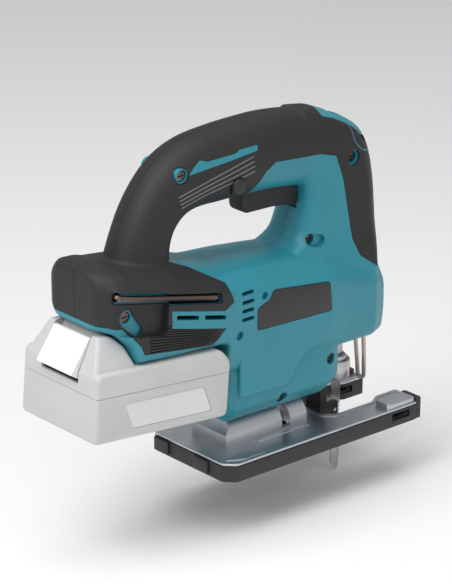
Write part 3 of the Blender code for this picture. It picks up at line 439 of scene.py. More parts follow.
@dataclass(frozen=True)
class Finish:
    """One material: its colours, gloss and surface relief."""

    name: str
    slot: str
    colour: Point3
    other: Point3
    rough: tuple[float, float]
    metal: float = 0.0
    grain_scale: float = 1500.0
    grain_height: float = 0.15
    mottle_scale: float = 40.0
    worn: float = 0.15
    coat: float = 0.0
    glass: float = 0.0

    def build(self, effects: Effects) -> bpy.types.Material:
        """Makes the material.

        Args:
            effects: the shared shader groups.

        Returns:
            The material.
        """
        made = bpy.data.materials.new(self.name)
        made.use_nodes = True
        tree = made.node_tree
        shader = tree.nodes["Principled BSDF"]
        shader.inputs["Metallic"].default_value = self.metal
        shader.inputs["Coat Weight"].default_value = self.coat
        if self.glass:
            shader.inputs["Transmission Weight"].default_value = self.glass
        groups = {}
        for key, group in (("grain", effects.grain), ("mottle", effects.mottle), ("wear", effects.wear)):
            node = tree.nodes.new("ShaderNodeGroup")
            node.node_tree = group
            groups[key] = node
        groups["grain"].inputs["Scale"].default_value = self.grain_scale
        groups["mottle"].inputs["Scale"].default_value = self.mottle_scale
        tone, rub, gloss, weak, bump = (tree.nodes.new(k) for k in (
            "ShaderNodeMix", "ShaderNodeMix", "ShaderNodeMapRange", "ShaderNodeMath", "ShaderNodeBump"))
        tone.data_type = rub.data_type = "RGBA"
        tone.inputs[6].default_value = (*self.colour, 1)
        tone.inputs[7].default_value = (*self.other, 1)
        rub.inputs[7].default_value = (*(min(c * 1.6 + 0.03, 1.0) for c in self.colour), 1)
        weak.operation = "MULTIPLY"
        weak.inputs[1].default_value = self.worn
        gloss.inputs["To Min"].default_value, gloss.inputs["To Max"].default_value = self.rough
        bump.inputs["Strength"].default_value = self.grain_height
        bump.inputs["Distance"].default_value = 0.0002
        link = tree.links.new
        link(groups["mottle"].outputs["Mask"], tone.inputs[0])
        link(groups["mottle"].outputs["Mask"], gloss.inputs["Value"])
        link(groups["wear"].outputs["Mask"], weak.inputs[0])
        link(weak.outputs[0], rub.inputs[0])
        link(tone.outputs[2], rub.inputs[6])
        link(rub.outputs[2], shader.inputs["Base Color"])
        link(gloss.outputs["Result"], shader.inputs["Roughness"])
        link(groups["grain"].outputs["Height"], bump.inputs["Height"])
        link(bump.outputs["Normal"], shader.inputs["Normal"])
        return made


FINISHES = {f.name: f for f in (
    Finish("teal_nylon", "teal_shell", (0.022, 0.245, 0.315), (0.019, 0.225, 0.292), (0.36, 0.46), 0, 1600,
           0.22, 30,
           0.10),
    Finish("soft_grip", "soft_rubber", (0.0125, 0.012, 0.0132), (0.017, 0.0162, 0.0178), (0.56, 0.68), 0,
           1300, 0.4, 25,
           0.25),
    Finish("blasted_alloy", "cast_aluminium", (0.60, 0.62, 0.65), (0.52, 0.54, 0.57), (0.32, 0.46), 1.0,
           900, 0.35,
           60, 0.5),
    Finish("polished_alloy", "cast_aluminium", (0.78, 0.79, 0.81), (0.72, 0.73, 0.75), (0.20, 0.28), 1.0,
           700, 0.1,
           90, 0.3),
    Finish("ground_steel", "bright_steel", (0.55, 0.54, 0.53), (0.47, 0.46, 0.45), (0.24, 0.36), 1.0, 900,
           0.12, 120,
           0.4),
    Finish("warm_wire", "bright_steel", (0.50, 0.44, 0.40), (0.44, 0.39, 0.35), (0.25, 0.36), 1.0, 900, 0.1,
           120,
           0.3),
    Finish("blackened_steel", "dark_steel", (0.17, 0.12, 0.105), (0.13, 0.095, 0.085), (0.36, 0.5), 1.0,
           800, 0.2,
           140, 0.5),
    Finish("black_nylon", "black_plastic", (0.016, 0.016, 0.0175), (0.021, 0.021, 0.023), (0.42, 0.54), 0,
           1500, 0.25,
           35, 0.2),
    Finish("plate_film", "black_plastic", (0.022, 0.018, 0.019), (0.026, 0.022, 0.023), (0.30, 0.38), 0,
           900, 0.05,
           40, 0.0),
    Finish("dark_groove", "black_plastic", (0.006, 0.006, 0.007), (0.008, 0.008, 0.009), (0.7, 0.8), 0,
           1500, 0.2, 40,
           0.0),
    Finish("print_grey", "grey_plastic", (0.20, 0.20, 0.205), (0.18, 0.18, 0.185), (0.45, 0.55), 0, 1200,
           0.1, 60,
           0.0),
    Finish("pack_grey", "grey_plastic", (0.56, 0.56, 0.56), (0.52, 0.52, 0.52), (0.42, 0.54), 0, 1500, 0.3,
           30, 0.1),
    Finish("pack_patch", "grey_plastic", (0.70, 0.70, 0.70), (0.67, 0.67, 0.67), (0.34, 0.42), 0, 900, 0.05,
           30, 0.0),
    Finish("key_white", "white_plastic", (0.84, 0.84, 0.84), (0.80, 0.80, 0.80), (0.35, 0.45), 0, 1500,
           0.15, 30,
           0.0),
    Finish("board_green", "green_board", (0.03, 0.15, 0.07), (0.02, 0.11, 0.05), (0.35, 0.5), 0, 700, 0.3,
           90, 0.0),
    Finish("turned_copper", "copper", (0.62, 0.30, 0.16), (0.52, 0.24, 0.12), (0.25, 0.4), 1.0, 900, 0.2,
           90, 0.3),
    Finish("porous_bronze", "bronze", (0.50, 0.36, 0.15), (0.42, 0.29, 0.12), (0.35, 0.5), 1.0, 1100, 0.5,
           90, 0.3),
    Finish("lamp_lens", "clear_lens", (0.85, 0.9, 0.95), (0.8, 0.86, 0.92), (0.05, 0.1), 0, 500, 0.02, 40,
           0.0,
           0.0, 0.9),
)}


@dataclass
class Bench:
    """Where finished pieces are dressed, named and set to ride."""

    frame: dict
    materials: dict[str, bpy.types.Material] = field(default_factory=dict)

    def __post_init__(self) -> None:
        """Builds every finish once."""
        effects = Effects.build()
        self.materials = {name: finish.build(effects) for name, finish in FINISHES.items()}

    def show(self, obj: Solid, name: str, finish: str, body: str, *nodes: str,
             smooth: float = 32.0) -> Solid:
        """Names and dresses a piece and sets it to ride on a body.

        Args:
            obj: the finished solid, in place.
            name: its name.
            finish: the finish's name.
            body: the body that it moves with.
            nodes: the frame nodes that it stands for.
            smooth: the angle in degrees above which an edge stays sharp.

        Returns:
            The piece.
        """
        obj.name = name
        obj.data.name = name
        obj.data.materials.clear()
        obj.data.materials.append(self.materials[finish])
        obj.data.shade_smooth()
        obj.data.set_sharp_from_angle(angle=math.radians(smooth))
        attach(obj, body)
        if nodes:
            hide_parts(*nodes)
        LOG.info("%s: %d faces, rides on %s", name, len(obj.data.polygons), body)
        return obj

    def refine(self, node: str, finish: str, body: str, edge: float) -> Solid:
        """Stands in for a frame node with a merged copy whose sharp edges are rounded.

        Args:
            node: the frame node.
            finish: the finish's name.
            body: the body that it moves with.
            edge: the radius of the rounding in millimetres.

        Returns:
            The piece.
        """
        bm = bmesh.new()
        bm.from_mesh(self.frame["nodes"][node].data)
        bmesh.ops.remove_doubles(bm, verts=bm.verts, dist=2e-6)
        bmesh.ops.dissolve_limit(bm, angle_limit=math.radians(1.0), verts=bm.verts, edges=bm.edges)
        made = to_object(bm, node + "_refined")
        rounding = made.modifiers.new("rounding", "BEVEL")
        rounding.width = edge * MM
        rounding.segments = 2
        rounding.limit_method = "ANGLE"
        rounding.angle_limit = math.radians(35)
        return self.show(bake(made), node + "_refined", finish, body, node)

    def dress(self, node: str, finish: str) -> None:
        """Gives a frame node that stays visible its finish."""
        obj = self.frame["nodes"][node]
        obj.data.materials.clear()
        obj.data.materials.append(self.materials[finish])


# ---------------------------------------------------------------- the housing

def tilted(point: Point2) -> Point2:
    """World X and Z of a point in the battery's own tilted frame."""
    s, h = point
    turn = math.radians(4.85)
    return -205.4 + s * math.cos(turn) + h * math.sin(turn), 55.7 - s * math.sin(turn) + h * math.cos(turn)


@dataclass
class HousingForm:
    """The outer form of the housing, which every shell and grip is cut from."""

    body_half: float = 34.0
    bottom: float = 30.0
    nose: float = 60.0
    deck: float = 45.5
    pack_length: float = 108.0
    handle_height: float = 202.5
    handle_half: float = 18.5

    def _floor(self, s: float, h: float, inset: float) -> Point2:
        """A corner of the underside over the battery."""
        x, z = tilted((s, h + RUN_GAP))
        return x, z + inset

    def body(self, inset: float) -> Solid:
        """The motor and battery housing, lofted along X."""
        deck_x, deck_z = self._floor(34.5, self.deck, inset)
        step_x, step_z = self._floor(self.pack_length, self.deck, inset)
        slope_x, slope_z = self._floor(29.0, 57.0, inset)
        crest_x, crest_z = self._floor(19.0, 65.5, inset)
        rim_x, rim_z = self._floor(9.8, 66.8, inset)
        mid_x, mid_z = self._floor(65.0, self.deck, inset)
        stations = [
            (rim_x + inset, [(16, rim_z), (19, rim_z + 1), (21.5, 127), (21.5, 148), (19, 154), (12, 157)]),
            (rim_x + 4 + inset, [(20, rim_z - 1), (26, rim_z), (28.5, 127), (28.5, 148), (24, 155),
                                 (15, 158.5)]),
            (crest_x + inset, [(22, crest_z), (31, crest_z), (34.4, 126), (34.4, 147), (27.5, 155.5),
                               (17, 159)]),
            (slope_x + inset, [(22, slope_z), (32, slope_z), (35.6, slope_z + 5), (35.6, 146), (28, 155),
                               (18, 158)]),
            (deck_x + inset, [(22, deck_z), (33, deck_z), (36, 103), (36, 145), (28, 153.5), (18, 156.5)]),
            (mid_x + inset, [(22, mid_z), (33, mid_z), (36, 101), (36, 141), (27, 150), (18, 154)]),
            (-118, [(22, 95.6 + inset), (33, 95.6 + inset), (36, 99), (35.5, 136), (26, 145), (16, 149)]),
            (step_x + 0.6 + inset, [(22, step_z), (32, step_z), (34.6, 98), (34.4, 128), (26, 138),
                                    (14, 142)]),
            (step_x + 2.2 + inset, [(20, 67), (29, 72), (34, 92), (34.2, 127), (26, 138), (14, 141)]),
            (-60, [(20, 66), (30, 72), (34, 92), (34, 122.5), (25, 136.5), (12, 139)]),
            (-30, [(20, 64), (30, 71), (34, 90), (34, 119), (24, 133.5), (12, 136.5)]),
            (-5, [(20, 62), (30, 69), (34, 88), (34, 116), (22, 130), (10, 134)]),
            (12, [(18, 60), (28, 67), (31, 84), (31, 112), (20, 124), (10, 131)]),
            (40, [(17, self.nose), (25.5, 64), (27.5, 76), (27.5, 103), (19, 112), (10, 124)]),
            (53 - inset, [(13, self.nose), (19, 64), (21, 78), (21, 98), (15, 108), (8, 118)]),
            (60 - inset, [(6, 64), (10, 68), (12, 78), (11, 88), (8, 98), (4, 106)]),
        ]
        rings = []
        for index, (x, corners) in enumerate(stations):
            over_pack = index < 8
            half = []
            for number, (y, z) in enumerate(corners):
                lift = 0.0 if number < 2 and over_pack else inset * (1 if number < 3 else -1)
                half.append((y - inset * (0.5 if number in (0, 5) else 1.0), z + lift))
            outline = rounded(half + [(-y, z) for y, z in reversed(half)], 3.6, 3)
            rings.append([(x, y, z) for y, z in outline])
        return loft(rings)

    def foot(self, inset: float) -> Solid:
        """The lower block that carries the base."""
        low = self.bottom + inset
        stations = [
            (-89.6 + inset, [(14, low + 12), (22, low + 22), (22, 70), (14, 82 - inset)]),
            (-82, [(16.5, low + 1), (28 - inset, low + 12.5 - inset / 2), (28 - inset, 70),
                   (16, 82 - inset)]),
            (0, [(16.5, low), (28 - inset, low + 11.5 - inset / 2), (28 - inset, 70), (16, 82 - inset)]),
            (8.5 - inset, [(14, low + 3), (25 - inset, low + 14 - inset / 2), (25 - inset, 70),
                           (14, 82 - inset)]),
        ]
        return loft([[(x, y, z) for y, z in rounded(half + [(-y, z) for y, z in reversed(half)], 2.6, 3)]
                     for x, half in stations])

    def pillar(self, inset: float) -> Solid:
        """The front pillar, from the nose to the top of the handle."""
        stations = [[100, -36, 56.5, 26], [120, -38, 56.5, 23.5], [131, -36, 56, 21.5], [140, -22, 55.5, 20],
                    [150, -16.5, 55, 19.5], [168, -12, 53.5, 19], [186, -14, 50, 18.5], [198, -18, 45, 17.8],
                    [207, -22, 37.5, 16.8], [217, -21, 21, 14.8], [225.2 - inset, -16, 1, 11]]
        rings = []
        for z, rear, front, half in spline(stations, 3):
            side = half - inset
            corners = [(rear + inset, -side * 0.62), (rear + inset + 6, -side), (front - inset - 13, -side),
                       (front - inset, -side * 0.42)]
            outline = rounded(corners + [(x, -y) for x, y in reversed(corners)], 4.5, 4)
            rings.append([(x, y, z) for x, y in outline])
        return loft(rings)

    def handle(self, inset: float) -> Solid:
        """The handle, as oval rings along its curved centre line."""
        low = self.handle_height
        path = [[-143, 128, 24, 21], [-142.5, 142, 23, 20.5], [-141, 154, 20.5, 18.8], [-138, 166, 18.8, 18],
                [-132.5, 178, 18.3, 18], [-123.5, 189, 19.6, 18], [-112, 197, 21.8, self.handle_half],
                [-98, 201.3, 23.5, self.handle_half], [-80, low, 24.6, 19], [-58, low + 0.6, 25.2, 19],
                [-34, low, 25.6, 19], [-3, low - 4, 25.4, self.handle_half], [12, low - 8, 24, 18]]
        path = spline(path, 4)
        rings = []
        sides = 56
        for i, (x, z, tall, wide) in enumerate(path):
            before, after = path[max(i - 1, 0)], path[min(i + 1, len(path) - 1)]
            run = Vector((after[0] - before[0], after[1] - before[1])).normalized()
            across = Vector((-run.y, run.x))
            ring = []
            for k in range(sides):
                angle = 2 * math.pi * (k + 0.5) / sides
                u = math.copysign(abs(math.cos(angle)) ** 0.85, math.cos(angle)) * (tall - inset)
                v = math.copysign(abs(math.sin(angle)) ** 0.85, math.sin(angle)) * (wide - inset)
                ring.append((x + across.x * u, v, z + across.y * u))
            rings.append(ring)
        return loft(rings)

    def melt(self, inset: float, grain: float, passes: int) -> Solid:
        """The whole form at an inset, melted into one skin.

        Args:
            inset: how far it lies under the outer surface.
            grain: cell size of the skin.
            passes: smoothing passes.

        Returns:
            The solid.
        """
        return melted([self.body(inset), self.foot(inset), self.pillar(inset), self.handle(inset)], grain,
                      passes)


SCREWS = {"rear": (-174.0, 130.5, 30.0), "handle": (-118.0, 206.0, 17.0), "front": (26.0, 188.5, 15.5),
          "pillar": (-11.5, 140.5, 16.0), "nose": (-0.4, 57.6, 26.0), "foot": (-42.0, 41.0, 24.0)}


@dataclass
class Housing:
    """Both clamshell halves, their soft grips, the top plate and the side details."""

    bench: Bench
    form: HousingForm = field(default_factory=HousingForm)
    skin: float = 1.5
    wall: float = 3.8
    cell: float = 1.0
    lock: Point2 = (-72.5, 189.8)
    slope: float = 0.25

    def grip_outline(self, gap: float) -> list[Point2]:
        """Side outline of the soft grip; gap moves its edges into the teal shell."""
        rear_x, rear_z = tilted((9.8, 66.8))
        slope_x, slope_z = tilted((33.0, 48.0))
        end_x, end_z = tilted((98.0, 45.5))
        band = 4.5 - gap
        return [(-60 + gap, 165), (-60 + gap, 179), (-50 + gap, 195 - gap), (-42, 200 - gap),
                (-3, 197 - gap),
                (11 - gap, 193 - gap), (17 - gap, 175), (22 - gap, 147), (24 - gap, 133),
                (29 - gap, 122 - gap),
                (44, 111 - gap), (90, 100 - gap), (90, 260), (-230, 260), (-230, rear_z + band + 1),
                (rear_x + 4, rear_z + band), (rear_x + 13, rear_z - 2 + band),
                (slope_x + 2.5 - gap, slope_z + 10),
                (slope_x + 5 - gap, slope_z + band), (end_x - 4, end_z + band), (-97.6 + 3 * gap, 105.4),
                (-142 + gap, 116.6 + gap), (-142 + gap, 128.6 - gap), (-97.6, 117.6 - gap), (-90 + gap, 121),
                (-94 + gap, 134), (-116 + gap, 147), (-128 + gap, 152), (-105, 158)]

    def _tongue(self, half: float, start: float, end: float, low: float, high: float) -> Solid:
        """A bar along the battery's top."""
        deck = self.form.deck
        corners = [tilted(p) for p in ((start, deck + low), (end, deck + low), (end, deck + high),
                                       (start, deck + high))]
        return slab(Axis.Y, corners, -half, half)

    def _hollow(self) -> Solid:
        """The cavity, with the thick deck left over the battery."""
        deck_x, deck_z = tilted((self.form.pack_length, self.form.deck + 8.4 + 2 * RUN_GAP + self.wall))
        return minus(self.form.melt(self.wall, 1.8, 1),
                     block((-182, -50, 60), (deck_x + 3.4, 50, deck_z + 6)),
                     block((-188, -50, 112), (-140, -26.5, 152)))

    def _openings(self) -> list[Solid]:
        """Air slots, battery way, saddle, clamp well, gear pocket, bolt and guard holes."""
        tools = [self._tongue(25.9, 20.0, 105.0, 2.5, 8.9), self._tongue(21.9, 21.0, 104.6, -3.0, 4.0)]
        for row in range(4):
            low = 105.5 + row * 5.8
            tools.append(slab(Axis.Y, rounded([(-83, low), (-73, low), (-73, low + 2.6), (-83, low + 2.6)],
                                              0.9, 3),
                              -45, 45))
        for start, end in ((-138, -120), (-115, -97)):
            high = 124.6 - (start + 138) * self.slope
            fall = (end - start) * self.slope
            tools.append(slab(Axis.Y, rounded([(start, high - 3), (end, high - 3 - fall), (end, high - fall),
                                               (start, high)], 0.8, 3), -45, 45))
        tools += [rod(Axis.Z, (-30, 0), 20, 60, 3.5), rod(Axis.X, (0, TILT_Z), -94, 13, 18.5, 96),
                  rod(Axis.Z, (29.75, 0), 50, 75, 11.5), rod(Axis.X, (0, 84), -0.5, 11.5, 21.6, 64)]
        tools += [rod(Axis.Z, (50.1, y), 50, 66.6, 1.9, 24) for y in (-4.5, 4.5)]
        return tools

    def _bosses(self, half: Solid, side: int) -> Solid:
        """Adds the screw bosses to a half and drills them."""
        for x, z, reach in SCREWS.values():
            low, high = sorted((side * GAP / 2, side * reach))
            half = plus(half, rod(Axis.Y, (x, z), low, high, BOSS_R, 32))
        for x, z, reach in SCREWS.values():
            if side < 0:
                half = minus(half, rod(Axis.Y, (x, z), -reach - 30, -reach + 4, HEAD_WAY, 32),
                             rod(Axis.Y, (x, z), -60, 2, SHANK_WAY, 24))
            else:
                half = minus(half, rod(Axis.Y, (x, z), -2, 12.6, SHANK_WAY, 24))
        return half

    def _key_channel(self) -> Solid:
        """The channel that holds the hex key on the right."""
        return slab(Axis.Y, rounded([(-185, 141.6), (-100, 122.9), (-100, 129.9), (-185, 149.6)], 1.6, 4),
                    -45, -29.5)

    def _recess(self, gap: float, depth: float) -> Solid:
        """The recess round the rear screw on the right."""
        line = [(-186 - gap, 150 + gap), (-186 - gap, 121 - gap), (-146 + gap, 113 - gap),
                (-143 + gap, 141 + gap)]
        return slab(Axis.Y, rounded(line, 4.0, 5), -60, -depth)

    def _oblong(self, start: Point2, end: Point2, radius: float, low: float,
                high: float) -> Solid:
        """A tool for an oblong hole between two points of the side view."""
        turn = math.atan2(end[1] - start[1], end[0] - start[0])
        line = [(c[0] + radius * math.cos(turn + a), c[1] + radius * math.sin(turn + a))
                for c, first in ((end, -math.pi / 2), (start, math.pi / 2))
                for a in (first + math.pi * k / 12 for k in range(13))]
        return slab(Axis.Y, line, low, high)

    def _flank(self) -> Solid:
        """The raised side panel, whose lower edge is the crease down to the foot."""
        line = [(-82, 52), (-41, 50.5), (-30, 65), (-3, 82), (9, 86), (9, 97), (-82, 97)]
        return slab(Axis.Y, rounded(line, 2.5, 4), -31.8, 31.8, 2.4)

    def _label(self, gap: float) -> list[Point2]:
        """Outline of the rating plate."""
        return rounded([(-56 - gap, 121 + gap), (-8 + gap, 115 + gap), (-6 + gap, 95 - gap),
                        (-70 - gap, 97 - gap),
                        (-70 - gap, 112), (-60 - gap, 115 + gap)], 2.4, 4)

    def _inlay(self, line: list[Point2], thick: float) -> Solid:
        """A narrow band along a side line, as a tool that crosses the whole housing."""
        path = [Vector(p) for p in spline([list(p) for p in line], 6)]
        upper, lower = [], []
        for i, here in enumerate(path):
            run = (path[min(i + 1, len(path) - 1)] - path[max(i - 1, 0)]).normalized()
            across = Vector((-run.y, run.x)) * thick / 2
            upper.append(tuple(here + across))
            lower.append(tuple(here - across))
        return slab(Axis.Y, lower + upper[::-1], -60, 60)

    def _grip_relief(self, grip: Solid) -> Solid:
        """Fine ribs on the rear panel and chevrons down the front strip."""
        for k in range(12):
            t = k / 11
            a, b = (-160 + t * 0.5, 123 - t * 22), (-104 + t * 2, 108 - t * 12)
            for side in (-1, 1):
                low, high = sorted((side * 34.9, side * 45.0))
                grip = minus(grip, slab(Axis.Y, [a, b, (b[0], b[1] + 0.7), (a[0], a[1] + 0.9)], low, high))
        for k in range(7):
            z = 122 + k * 11.5
            for side in (-1, 1):
                arm = slab(Axis.X, [(0, z), (side * 12, z + 7), (side * 12, z + 7.9), (0, z + 0.9)], 45, 70)
                grip = minus(grip, arm)
        return grip

    def build(self) -> None:
        """Makes and dresses every piece of the housing."""
        outer = minus(plus(self.form.melt(0.0, self.cell, 7), self._flank()), self._recess(0.0, 31.0))
        under = minus(self.form.melt(self.skin, self.cell, 7), self._recess(self.skin, 29.5))
        core = minus(self.form.melt(self.skin + GAP, self.cell * 1.15, 6),
                     self._recess(self.skin + GAP, 29.2))
        zone = slab(Axis.Y, self.grip_outline(0.0), -80, 80)
        pocket = slab(Axis.Y, self.grip_outline(GAP), -80, 80)
        plate_line = [(3.0, 200.0), (44.0, 200.0), (44.0, 240.0), (3.0, 240.0)]
        plate = act(slab(Axis.Y, plate_line, -12.5, 12.5), outer, Cut.KEEP, keep=True)
        plate = act(plate, under, Cut.REMOVE, keep=True)
        slot_line = rounded([(12, -7), (24, -7), (24, 7), (12, 7)], 2.2, 4)
        plate = minus(plate, slab(Axis.Z, slot_line, 190, 240))
        self.bench.show(plate, "top_cover", "teal_nylon", "housing", "top_plate")
        grip = act(copied(outer), zone, Cut.KEEP)
        grip = minus(grip, copied(under))
        wide = [(2.7, 195.0), (44.3, 195.0), (44.3, 240.0), (2.7, 240.0)]
        grip = minus(grip, slab(Axis.Y, wide, -12.8, 12.8))
        shell = plus(minus(outer, pocket), core)
        shell = minus(shell, self._hollow(), *self._openings())
        trigger_way = [(-60.8, 159.5), (-11.6, 159.5), (-11.6, 192), (-60.8, 192)]
        half_way = TRIGGER_HALF + RUN_GAP
        grip = minus(grip, slab(Axis.Y, trigger_way, -half_way, half_way))
        shell = minus(shell, slab(Axis.Y, trigger_way, -half_way, half_way))
        grip = minus(grip, rod(Axis.Y, self.lock, -30, 30, LOCK_WAY))
        shell = minus(shell, rod(Axis.Y, self.lock, -30, 30, LOCK_WAY))
        for x, z, _ in SCREWS.values():
            grip = minus(grip, rod(Axis.Y, (x, z), -60, 60, GRIP_CUT))
        grip = self._grip_relief(grip)
        marks = {}
        for k in range(4):
            line = [(-121.5 + k, 193 - k * 2.6), (-60.5 + k * 0.4, 207.4 - k * 3.4)]
            marks[f"line_{k + 1}"] = (self._inlay(line, 0.75), "print_grey")
        crest = [(-113, 205.4), (-57, 210.4), (-57, 214), (-72, 213.6), (-75, 212), (-98, 211.2),
                 (-103, 213),
                 (-108, 209.6)]
        marks["crest"] = (slab(Axis.Y, rounded(crest, 0.8, 3), -60, 60), "teal_nylon")
        seam = [(25.5, 211), (27.0, 201), (31, 194.8), (38, 190.5), (52, 186)]
        marks["seam"] = (self._inlay(seam, 0.7), "teal_nylon")
        for name, (tool, finish) in marks.items():
            strip = act(copied(tool), copied(grip), Cut.KEEP)
            for side, label in ((-1, "right"), (1, "left")):
                self.bench.show(half_of(strip, side), f"handle_{name}_{label}", finish, "housing")
            drop(strip)
            grip = minus(grip, tool)
        for side, label in ((-1, "right"), (1, "left")):
            cover = half_of(grip, side)
            half = self._bosses(half_of(shell, side), side)
            if side < 0:
                half = minus(half, slab(Axis.Y, self._label(0.4), -40, -33.1),
                             rod(Axis.Y, (-64, 119), -40, -31.4, 2.6),
                             rod(Axis.Y, (-85, 97), -40, -31.4, 3.0),
                             self._key_channel(), rod(Axis.Y, (-180.5, 145), -45, -6, KEY_WAY),
                             rod(Axis.X, (-14, 50), 2, 14, 3.6),
                             self._oblong((-11.5, 140.5), (-4.5, 138.6), 4.3, -40, -17.2))
                tail = rounded([(-179, 127), (-171, 134.5), (-161, 120), (-166, 115.5)], 1.6, 4)
                cover = minus(cover, self._key_channel(), rod(Axis.Y, (-180.5, 145), -45, -6, KEY_WAY),
                              slab(Axis.Y, tail, -45, -26))
            else:
                half = minus(half, rod(Axis.Y, (-12, 74), 10, 45, 3.4), rod(Axis.Z, (36, 15), 50, 68, 2.4))
            self.bench.show(half, f"shell_{label}", "teal_nylon", "housing", f"housing_{label}")
            self.bench.show(cover, f"grip_{label}", "soft_grip", "housing", f"overmould_{label}")
        drop(grip, shell, under)
        plate = slab(Axis.Y, self._label(0.0), -34.1, -33.4, 0.15)
        self.bench.show(plate, "rating_plate", "plate_film", "housing", "label_plate")


# ---------------------------------------------------------------- the base

@dataclass
class Base:
    """The alloy sole with its saddle, and the black cover round it."""

    bench: Bench
    rear: float = -100.0
    front: float = 71.0
    half: float = 41.0
    top: float = 13.0
    cover_wall: float = 2.1
    saddle: float = 18.0
    bore: float = 13.5
    fence: tuple[float, float, float, float] = (44.0, 60.0, 4.4, 9.4)

    def outline(self, inset: float, reach: float = 2.2) -> list[Point2]:
        """Plan outline with the opening round the blade."""
        corner = 7.0
        rear, front, half = self.rear + inset, self.front - inset, self.half - inset
        slot, mouth = 21 + inset, 15.5 + inset
        side = [(rear, half - corner), (rear + corner, half), (front - 4, half), (front, half - 4),
                (front, mouth),
                (52, mouth), (44, slot), (10 - inset, slot), (4 - inset, slot - 7)]
        return rounded(side + [(x, -y) for x, y in reversed(side)], reach, 4)

    def build(self) -> None:
        """Makes the sole and its cover."""
        low = self.top - 1.6
        wall = self.cover_wall
        sole = plus(slab(Axis.Z, self.outline(0.0), low, self.top, 0.5),
                    slab(Axis.Z, self.outline(wall + GAP), wall + GAP, low + 0.4))
        sole = minus(sole, slab(Axis.Z, self.outline(wall + GAP + 3.0), -1, self.top - 3.2),
                     slab(Axis.Z, self.outline(2.6, 3.0), self.top - 0.7, self.top + 2))
        lozenge = rounded([(-96, -31), (-84, -37.4), (-64, -37.4), (-76, -22)], 4.0, 5)
        arch = act(rod(Axis.X, (0, TILT_Z), -82, -12, self.saddle, 96),
                   block((-83, -17, self.top - 2), (-11, 17, 60)),
                   Cut.KEEP)
        sweep = rod(Axis.Y, (-91, self.top + 21.5), -40, 40, 16.0, 72)
        sole = plus(sole, minus(arch, sweep), slab(Axis.Z, lozenge, self.top - 1.5, self.top - 0.15, 0.4))
        for side in (-1, 1):
            rib = rounded([(-58, side * 20.5), (-14, side * 20.5), (-14, side * 22.3), (-58, side * 22.3)],
                          0.8, 3)
            sole = plus(sole, slab(Axis.Z, rib, self.top - 1.5, self.top - 0.05, 0.3))
        x0, x1, z0, z1 = self.fence
        sole = minus(sole, plus(rod(Axis.X, (0, TILT_Z), -76, -18, self.bore, 72),
                                block((-76, -self.bore, -5), (-18, self.bore, 14))),
                     block((-33.5, -30, self.top + 1), (-26.5, 30, 60)), block((x0, -60, z0), (x1, 60, z1)))
        caps = []
        for side in (-1, 1):
            near, far = sorted((side * 25.0, side * 40.8))
            stand = sorted((side * 27.0, side * 39.6))
            sole = plus(sole, block((41.0, stand[0], self.top - 2), (66.0, stand[1], self.top + 3.4), 1.1))
            caps.append(block((66.6, near, 0.3), (self.front - 0.05, far, self.top + 2.6), 0.8))
            sole = minus(sole, block((66.6 - GAP, near - GAP, -2),
                                     (self.front + 2, far + GAP, self.top + 5)))
        self.bench.show(sole, "sole_plate", "blasted_alloy", "base", "base_plate")
        cover = minus(slab(Axis.Z, self.outline(0.0), 0, low - GAP, 0.7),
                      slab(Axis.Z, self.outline(wall), wall, self.top + 5),
                      block((x0, -60, z0), (x1, 60, z1)), block((-76, -self.bore, -5), (-18, self.bore, 14)))
        for y in (26.0, -14.0):
            cover = plus(cover, block((self.rear - 1.8, y - 7, 1.5), (self.rear + 1.2, y + 7, low - 0.6),
                                      0.6))
        cover = plus(cover, *caps)
        self.bench.show(cover, "sole_cover", "black_nylon", "base", "base_cover")


# ---------------------------------------------------------------- blade gear

@dataclass
class BladeGear:
    """Everything on the blade's line, with the guard and levers round it."""

    bench: Bench
    line: float = 29.75
    width: float = 7.5
    thick: float = 1.4
    tip: float = -40.0

    def blade(self) -> Solid:
        """The blade, with fine teeth to the front."""
        rear, front = self.line - self.width / 2, self.line + self.width / 2
        outline = [(rear, self.tip + 6), (rear, 41.7), (front, 41.7), (front, 9.5)]
        pitch, high = 2.5, 8.5
        for k in range(int((high - self.tip - 5) / pitch)):
            z = high - k * pitch
            outline += [(front, z), (front - 1.2, z - 0.5)]
        outline += [(front - 1.5, self.tip + 3), (front - 3.0, self.tip)]
        return slab(Axis.Y, outline, -self.thick / 2, self.thick / 2)

    def guard(self) -> Solid:
        """The bent wire in front of the blade."""
        down = [(50, 4.5, 66), (50.2, 4.5, 60), (51.5, 4.0, 48), (52.6, 3.4, 34), (53, 3.0, 25)]
        turn = [(53, 3.0 * math.cos(a), 25 - 3.0 * math.sin(a)) for a in (math.pi * k / 6 for k in range(1,
                                                                                                         6))]
        return wire(down + turn + [(x, -y, z) for x, y, z in reversed(down)], 1.5, 5, 4)

    def build(self) -> None:
        """Makes the blade and guard, and rounds off the other pieces."""
        bench = self.bench
        bench.show(self.blade(), "cutting_blade", "ground_steel", "blade", "saw_blade", smooth=20)
        bench.show(self.guard(), "blade_guard", "warm_wire", "housing", "wire_guard")
        for node, finish, body, edge in (
                ("roller_holder", "black_nylon", "orbital_arm", 0.5),
                ("guide_roller", "ground_steel", "roller", 0.2),
                ("roller_pin", "ground_steel", "orbital_arm", 0.2),
                ("dust_seal", "soft_grip", "housing", 0.5),
                ("clamp_sleeve", "ground_steel", "sleeve", 0.3),
                ("blade_clamp", "ground_steel", "plunger_rod", 0.2),
                ("plunger", "ground_steel", "plunger_rod", 0.3),
                ("crosshead", "ground_steel", "plunger_rod", 0.3),
                ("release_lever", "black_nylon", "lever", 0.5),
                ("lever_pin", "ground_steel", "housing", 0.2),
                ("orbital_selector", "black_nylon", "selector", 0.6),
                ("base_bolt", "blackened_steel", "housing", 0.2),
                ("clamp_nut", "ground_steel", "housing", 0.3)):
            bench.refine(node, finish, body, edge)


# ---------------------------------------------------------------- battery

